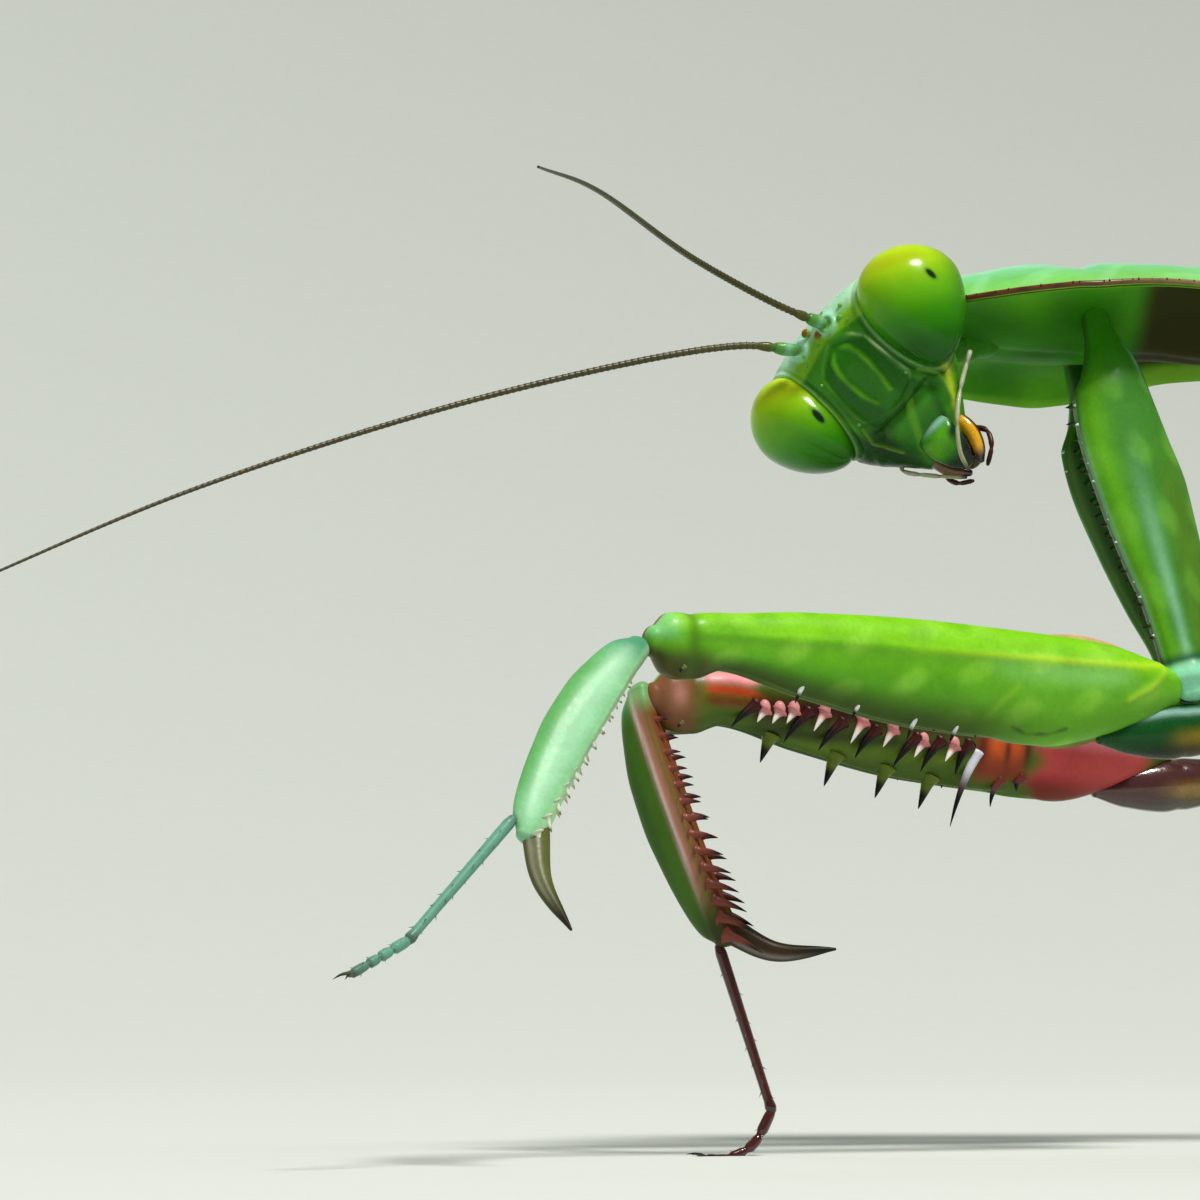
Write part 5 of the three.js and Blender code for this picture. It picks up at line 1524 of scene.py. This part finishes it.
def wing(name, outline, side, layer, look):
    """A wing as a thin closed sheet with raised veins, lying in its layer over the abdomen."""
    skin = Skin(name, look, look, frame_of=REAR_FRAME)
    first, last = outline[0, 0], outline[-1, 0]
    share = np.linspace(0, 1, 300)
    x = first + (last - first) * (0.5 - 0.5 * np.cos(math.pi * share)) ** 0.9
    inner, outer = through(outline, x).T
    x, inner, outer = x[:, None], inner[:, None], outer[:, None]
    t = np.linspace(0, 1, 150)[None, :]
    t = 0.5 - 0.5 * np.cos(math.pi * t)
    y = inner + (outer - inner) * t
    lift = 0.25 + layer * LAYER * smooth(3, 7, x) + 0.25
    line = roof(0) - 0.9 * smooth(30, 52, x)
    height = line + roof(y) - roof(0) + lift
    along = (x - first) / (last - first)
    # The main veins run the length of the wing and fork; fine cross-veins make a net between them.
    lanes = 11 * (t ** 0.85) + 1.4 * along * np.sin(math.pi * t) + 0.3 * np.sin(5 * along + 4 * t)
    main = smooth(0.86, 0.99, np.cos(2 * math.pi * lanes))
    costa = bell(t, 0.8, 0.012) * 1.4
    rungs = x * 1.9 + 0.35 * np.sin(7 * lanes) + 0.5 * np.floor(lanes)
    net = smooth(0.8, 0.98, np.cos(2 * math.pi * rungs))
    net *= smooth(0.0, 0.25, np.abs(np.cos(2 * math.pi * lanes) - 1)) * smooth(0.98, 0.9, t)
    veins = np.clip(np.maximum(main, costa), 0, 1)
    stigma = bell(along, 0.52, 0.022) * bell(t, 0.66, 0.035)
    edge = smooth(0.0, 0.03, t) * smooth(1.0, 0.97, t)
    ruffle = 0.05 * np.sin(2 * math.pi * lanes) * edge
    half = WING_THICK / 2 * (0.35 + 0.65 * edge)
    upper = height + half + 0.09 * veins + 0.045 * net + ruffle + 0.05 * stigma
    lower = height - half - 0.03 * veins + ruffle
    if look == "wing_green":
        tint_top = paint(
            0x60A03C,
            (0x7CBA46, 0.5 * smooth(0.7, 0.9, t)),
            (0xA0C86E, 0.55 * veins),
            (0x78B250, 0.5 * net),
            (0x96B078, 0.55 * smooth(0.2, 0.0, t)),
            (0xE2DC96, 0.9 * stigma),
            (0x785A32, 0.6 * bell(along, 0.52, 0.03) * bell(t, 0.66, 0.05) * (1 - stigma)),
            (0xBECE5A, 0.7 * smooth(0.985, 1.0, t)),
            (BROWN, 0.35 * smooth(0.9, 1.0, along) * veins),
        )
    else:
        tint_top = paint(
            0xB0BE8C,
            (0x8C783C, 0.7 * veins),
            (0x96A064, 0.5 * net),
            (0x78AA50, 0.6 * smooth(0.75, 0.95, t)),
        )
    tint_bottom = paint(0x78A050, (0x8CB464, 0.5 * veins))
    sheet(skin, x, side * y, upper, lower, tint_top, tint_bottom)
    skin.make()


# ---------------------------------------------------------------- walking legs
WALKING = {
    "mid": {"hip": (3.6, 2.3, -2.6), "coxa": (-105, -58), "femur": (-60, -20), "shin": -118,
            "toes": (-95, 8.0), "size": (5.5, 19, 16)},
    "hind": {"hip": (9.8, 2.4, -2.7), "coxa": (-100, -58), "femur": (-122, 6), "shin": -128,
             "toes": (-115, 9.0), "size": (5.5, 23, 24)},
}
WALKING_COXA = [[0, 1.2, 1.1, 1.1], [0.4, 1.22, 1.12, 1.08], [0.85, 0.85, 0.85, 0.8], [1, 0.6, 0.6, 0.58]]
WALKING_FEMUR = [
    [0, 0.5, 0.5, 0.45],
    [0.08, 0.72, 0.72, 0.58],
    [0.35, 0.76, 0.76, 0.6],
    [0.9, 0.44, 0.44, 0.38],
    [0.965, 0.58, 0.58, 0.46],
    [1, 0.4, 0.4, 0.34],
]
WALKING_TIBIA = [
    [0, 0.32, 0.32, 0.3],
    [0.04, 0.42, 0.42, 0.36],
    [0.12, 0.3, 0.3, 0.28],
    [0.5, 0.27, 0.27, 0.26],
    [0.96, 0.32, 0.32, 0.3],
    [1, 0.24, 0.24, 0.24],
]
TOE_RADIUS = 0.27
TOE_JOINTS = [0, 0.42, 0.6, 0.74, 0.85, 1]


def walking_leg(pair, name, side):
    plan = WALKING[pair]
    coxa_length, femur_length, tibia_length = plan["size"]
    turned = lambda turn, rise: heading(side * turn, rise)
    x, y, z = plan["hip"]
    hip = REAR_FRAME.out((x, side * y, z))
    coxa_end = hip + turned(*plan["coxa"]) * coxa_length
    knee = coxa_end + turned(*plan["femur"]) * femur_length
    ankle_height = FLOOR + TOE_RADIUS - 0.03
    fall = math.degrees(math.asin((knee[2] - ankle_height) / tibia_length))
    ankle = knee + turned(plan["shin"], -fall) * tibia_length
    toe_turn, toe_length = plan["toes"]
    toe_end = ankle + turned(toe_turn, 0) * (toe_length - 0.55)
    out = np.array([0, side, 0.0])

    skin = Skin(f"{pair}_{name}_coxa", "cuticle", "cuticle")
    tint = lambda at: paint(LEAF, (FRESH, 0.5 * bell(at.angle, 0.4, 0.6)),
                            (FOREST, 0.6 * smooth(0.85, 0.95, at.share)))
    relief = lambda at: (0.08 * bell(at.angle, 0.6, 0.2) - 0.07 * bell(at.share, 0.84, 0.02)
                         + 0.05 * np.sin(5 * at.share))
    root = hip - unit(coxa_end - hip) * 0.6
    limb(skin, [root, coxa_end], WALKING_COXA, tint, up=(-1, 0, 0.3), out=out, relief=relief, rings=80,
         sides=56)
    skin.make()

    skin = Skin(f"{pair}_{name}_femur", "cuticle", "cuticle")
    ridge = lambda at: np.maximum(np.cos(4 * at.angle + 0.6), 0)
    knee_ring = lambda at: 0.06 * bell(at.share, 0.97, 0.014) - 0.05 * bell(at.share, 0.93, 0.01)
    relief = lambda at: 0.05 * ridge(at) ** 3 + knee_ring(at)
    tint = lambda at: paint(
        0x62A232,
        (0x92C85A, 0.5 * ridge(at) ** 2),
        # Mint over the upper side: a painted sheen of the light from above.
        (MINT, 0.4 * smooth(0.2, 0.9, np.sin(at.angle))),
        (TEAL, 0.5 * smooth(0.92, 0.97, at.share)),
        (BROWN, 0.5 * bell(at.share, 0.935, 0.012)),
    )
    limb(skin, [coxa_end, knee], WALKING_FEMUR, tint, out=out, relief=relief, rings=190, sides=56)
    bristles(skin, [coxa_end, knee], 0.5, 46, 0.22, 0x96AA6E)
    forward = unit(knee - coxa_end)
    aside = unit(np.cross(forward, UP))
    for turn in (1, -1):
        root = knee - forward * 0.5 + aside * turn * 0.3 - UP * 0.2
        tip = root + forward * 0.55 - UP * 0.3
        thorn(skin, root, tip, 0.1, spine_tint(MINT, DARK_BROWN), rings=8, sides=10)
    skin.make()

    skin = Skin(f"{pair}_{name}_tibia", "cuticle", "cuticle")
    tint = lambda at: paint(
        0x68A43E,
        # Paler over the upper side: a painted sheen of the light from above.
        (0x96C478, 0.5 * smooth(0.1, 0.9, np.sin(at.angle))),
        (0x786E38, 0.55 * smooth(0.75, 1.0, at.share)),
        (TEAL, 0.4 * smooth(0.06, 0.0, at.share)),
    )
    relief = lambda at: 0.035 * np.maximum(np.cos(3 * at.angle), 0) ** 3
    limb(skin, [knee, ankle], WALKING_TIBIA, tint, out=out, relief=relief, rings=170, sides=40)
    bristles(skin, [knee, ankle], 0.27, 60, 0.3, 0x786E46)
    shin = unit(ankle - knee)
    aside = unit(np.cross(shin, UP))
    for turn in (1, -1):
        root = ankle - shin * 0.35 + aside * turn * 0.2
        tip = root + shin * 0.3 + aside * turn * 0.45
        tip[2] = max(tip[2], FLOOR + 0.05)
        thorn(skin, root, tip, 0.09, spine_tint(OLIVE, DARK_BROWN), rings=10, sides=10)
    skin.make()

    skin = Skin(f"{pair}_{name}_tarsus", "cuticle", "cuticle")
    colour = lambda s: paint(0x708A42, (0x6E5032, 0.7 * smooth(0.3, 1, s)))
    jointed(skin, [ankle, toe_end], TOE_JOINTS, 0.225, colour, sides=24, taper=0.8)
    # A soft pad lies under the end of each segment, on the floor.
    toe_along = unit(toe_end - ankle)
    for joint in TOE_JOINTS[1:-1]:
        pad = ankle + (toe_end - ankle) * (joint - 0.02)
        pad[2] = FLOOR + 0.1
        ball(skin, pad, (0.16, 0.16, 0.3), 0x969664, axis=toe_along, rings=10, sides=14)
    bristles(skin, [ankle, toe_end], 0.18, 40, 0.2, 0x6E603C)
    claws(skin, [ankle, toe_end], BROWN)
    skin.make()


# ---------------------------------------------------------------- the whole animal
pronotum()
prosternum()
head_capsule()
labrum()
mandibles()
labium()
neck()
for side_name, side_sign in SIDES.items():
    eye(side_name)
    palp(side_name)
    antenna(side_name)
    fore_leg(side_name, side_sign)
    cercus(side_name, side_sign)
    for pair_name in WALKING:
        walking_leg(pair_name, side_name, side_sign)
thorax_piece("mesothorax", MESOTHORAX, 0, METATHORAX_AT)
thorax_piece("metathorax", METATHORAX, METATHORAX_AT, ABDOMEN_AT)
for length_name, (from_station, to_station) in ABDOMEN_LENGTHS.items():
    abdomen_piece(length_name, from_station, to_station)
wing("hindwing_left", HINDWING, -1, 0, "wing_clear")
wing("hindwing_right", HINDWING, 1, 1, "wing_clear")
wing("tegmen_right", TEGMEN, 1, 2, "wing_green")
wing("tegmen_left", TEGMEN, -1, 3, "wing_green")


# ---------------------------------------------------------------- studio
def backdrop():
    """A pale floor that sweeps up, close behind the animal, into a wall."""
    reach, front, back, bend_radius, tall = 2.5, -1.5, 0.12, 0.8, 2.2  # metres
    turn = np.linspace(0, math.pi / 2, 48)
    profile = [(front, 0.0)]
    profile += [(back + bend_radius * math.sin(a), bend_radius * (1 - math.cos(a))) for a in turn]
    profile.append((back + bend_radius, tall))
    points = [(x, y, z) for y, z in profile for x in (-reach, reach)]
    faces = [(2 * i, 2 * i + 1, 2 * i + 3, 2 * i + 2) for i in range(len(profile) - 1)]
    mesh = bpy.data.meshes.new("backdrop")
    mesh.from_pydata(points, [], faces)
    mesh.shade_smooth()
    n = Nodes("backdrop_paper")
    place = n.node("ShaderNodeTexCoord").outputs["Object"]
    grain = n.noise(place, 900, 3.0)
    n.set(Base_Color=n.mix((0.56, 0.58, 0.54), (0.59, 0.605, 0.57), grain), Roughness=0.85,
          Normal=n.bump(grain, 0.15, 0.0001))
    mesh.materials.append(n.material)
    floor = bpy.data.objects.new("backdrop", mesh)
    bpy.context.scene.collection.objects.link(floor)


def light(name, at, aim, size, power, colour, glossy=True):
    """A soft disc light. Only a glossy one shows in the reflections."""
    lamp = bpy.data.lights.new(name, "AREA")
    lamp.shape = "DISK"
    lamp.size, lamp.energy, lamp.color = size, power, colour
    lamp_object = bpy.data.objects.new(name, lamp)
    lamp_object.visible_glossy = glossy
    bpy.context.scene.collection.objects.link(lamp_object)
    back = unit(np.array(at, float) - np.array(aim, float))
    right = unit(np.cross(UP, back))
    lamp_object.matrix_world = Matrix(axes(right, np.cross(back, right), back, at))


def axes(right, up, back, at):
    """The rows of a matrix that places an object with these axes."""
    rows = [[*row] for row in zip(right, up, back, at)]
    return rows + [[0, 0, 0, 1]]


def camera():
    """The photographer's view: level with the fore legs, from the animal's left, a little ahead."""
    turn, rise = map(math.radians, CAMERA_TURN)
    back = np.array([math.sin(turn) * math.cos(rise), -math.cos(turn) * math.cos(rise), math.sin(rise)])
    right = np.array([math.cos(turn), math.sin(turn), 0])
    lens = bpy.data.cameras.new("camera")
    lens.sensor_width, lens.lens, lens.clip_start = SENSOR, FOCAL_LENGTH, NEAREST
    camera_object = bpy.data.objects.new("camera", lens)
    camera_object.matrix_world = Matrix(axes(right, np.cross(back, right), back, CAMERA_AT))
    bpy.context.scene.collection.objects.link(camera_object)
    bpy.context.scene.camera = camera_object


CAMERA_AT = (-0.06109, -0.233137, 0.00769)  # metres
CAMERA_TURN = (-7, -3)  # degrees round from the side and up
SENSOR, FOCAL_LENGTH = 36, 193.2  # millimetres
NEAREST = 0.01  # metres
SKY, SKY_STRENGTH = (0.82, 0.88, 0.86, 1), 0.22

backdrop()
camera()
# Each disc light: where it is, what it is aimed at, its width in metres, its watts and its colour.
light("key", (0.16, -0.26, 0.7), (0, 0, 0.01), 0.2, 6.5, (1.0, 0.985, 0.95))
light("fill", (-0.5, -0.7, 0.5), (0, 0, 0.02), 0.5, 1.1, (0.95, 0.98, 1.0), glossy=False)
light("rim", (-0.4, 0.4, 0.5), (0, 0, 0.02), 0.4, 1.8, (0.95, 1.0, 0.97), glossy=False)
world = bpy.data.worlds.new("studio")
world.use_nodes = True
world.node_tree.nodes["Background"].inputs["Color"].default_value = SKY
world.node_tree.nodes["Background"].inputs["Strength"].default_value = SKY_STRENGTH
bpy.context.scene.world = world
bpy.context.scene.view_settings.view_transform = "Standard"
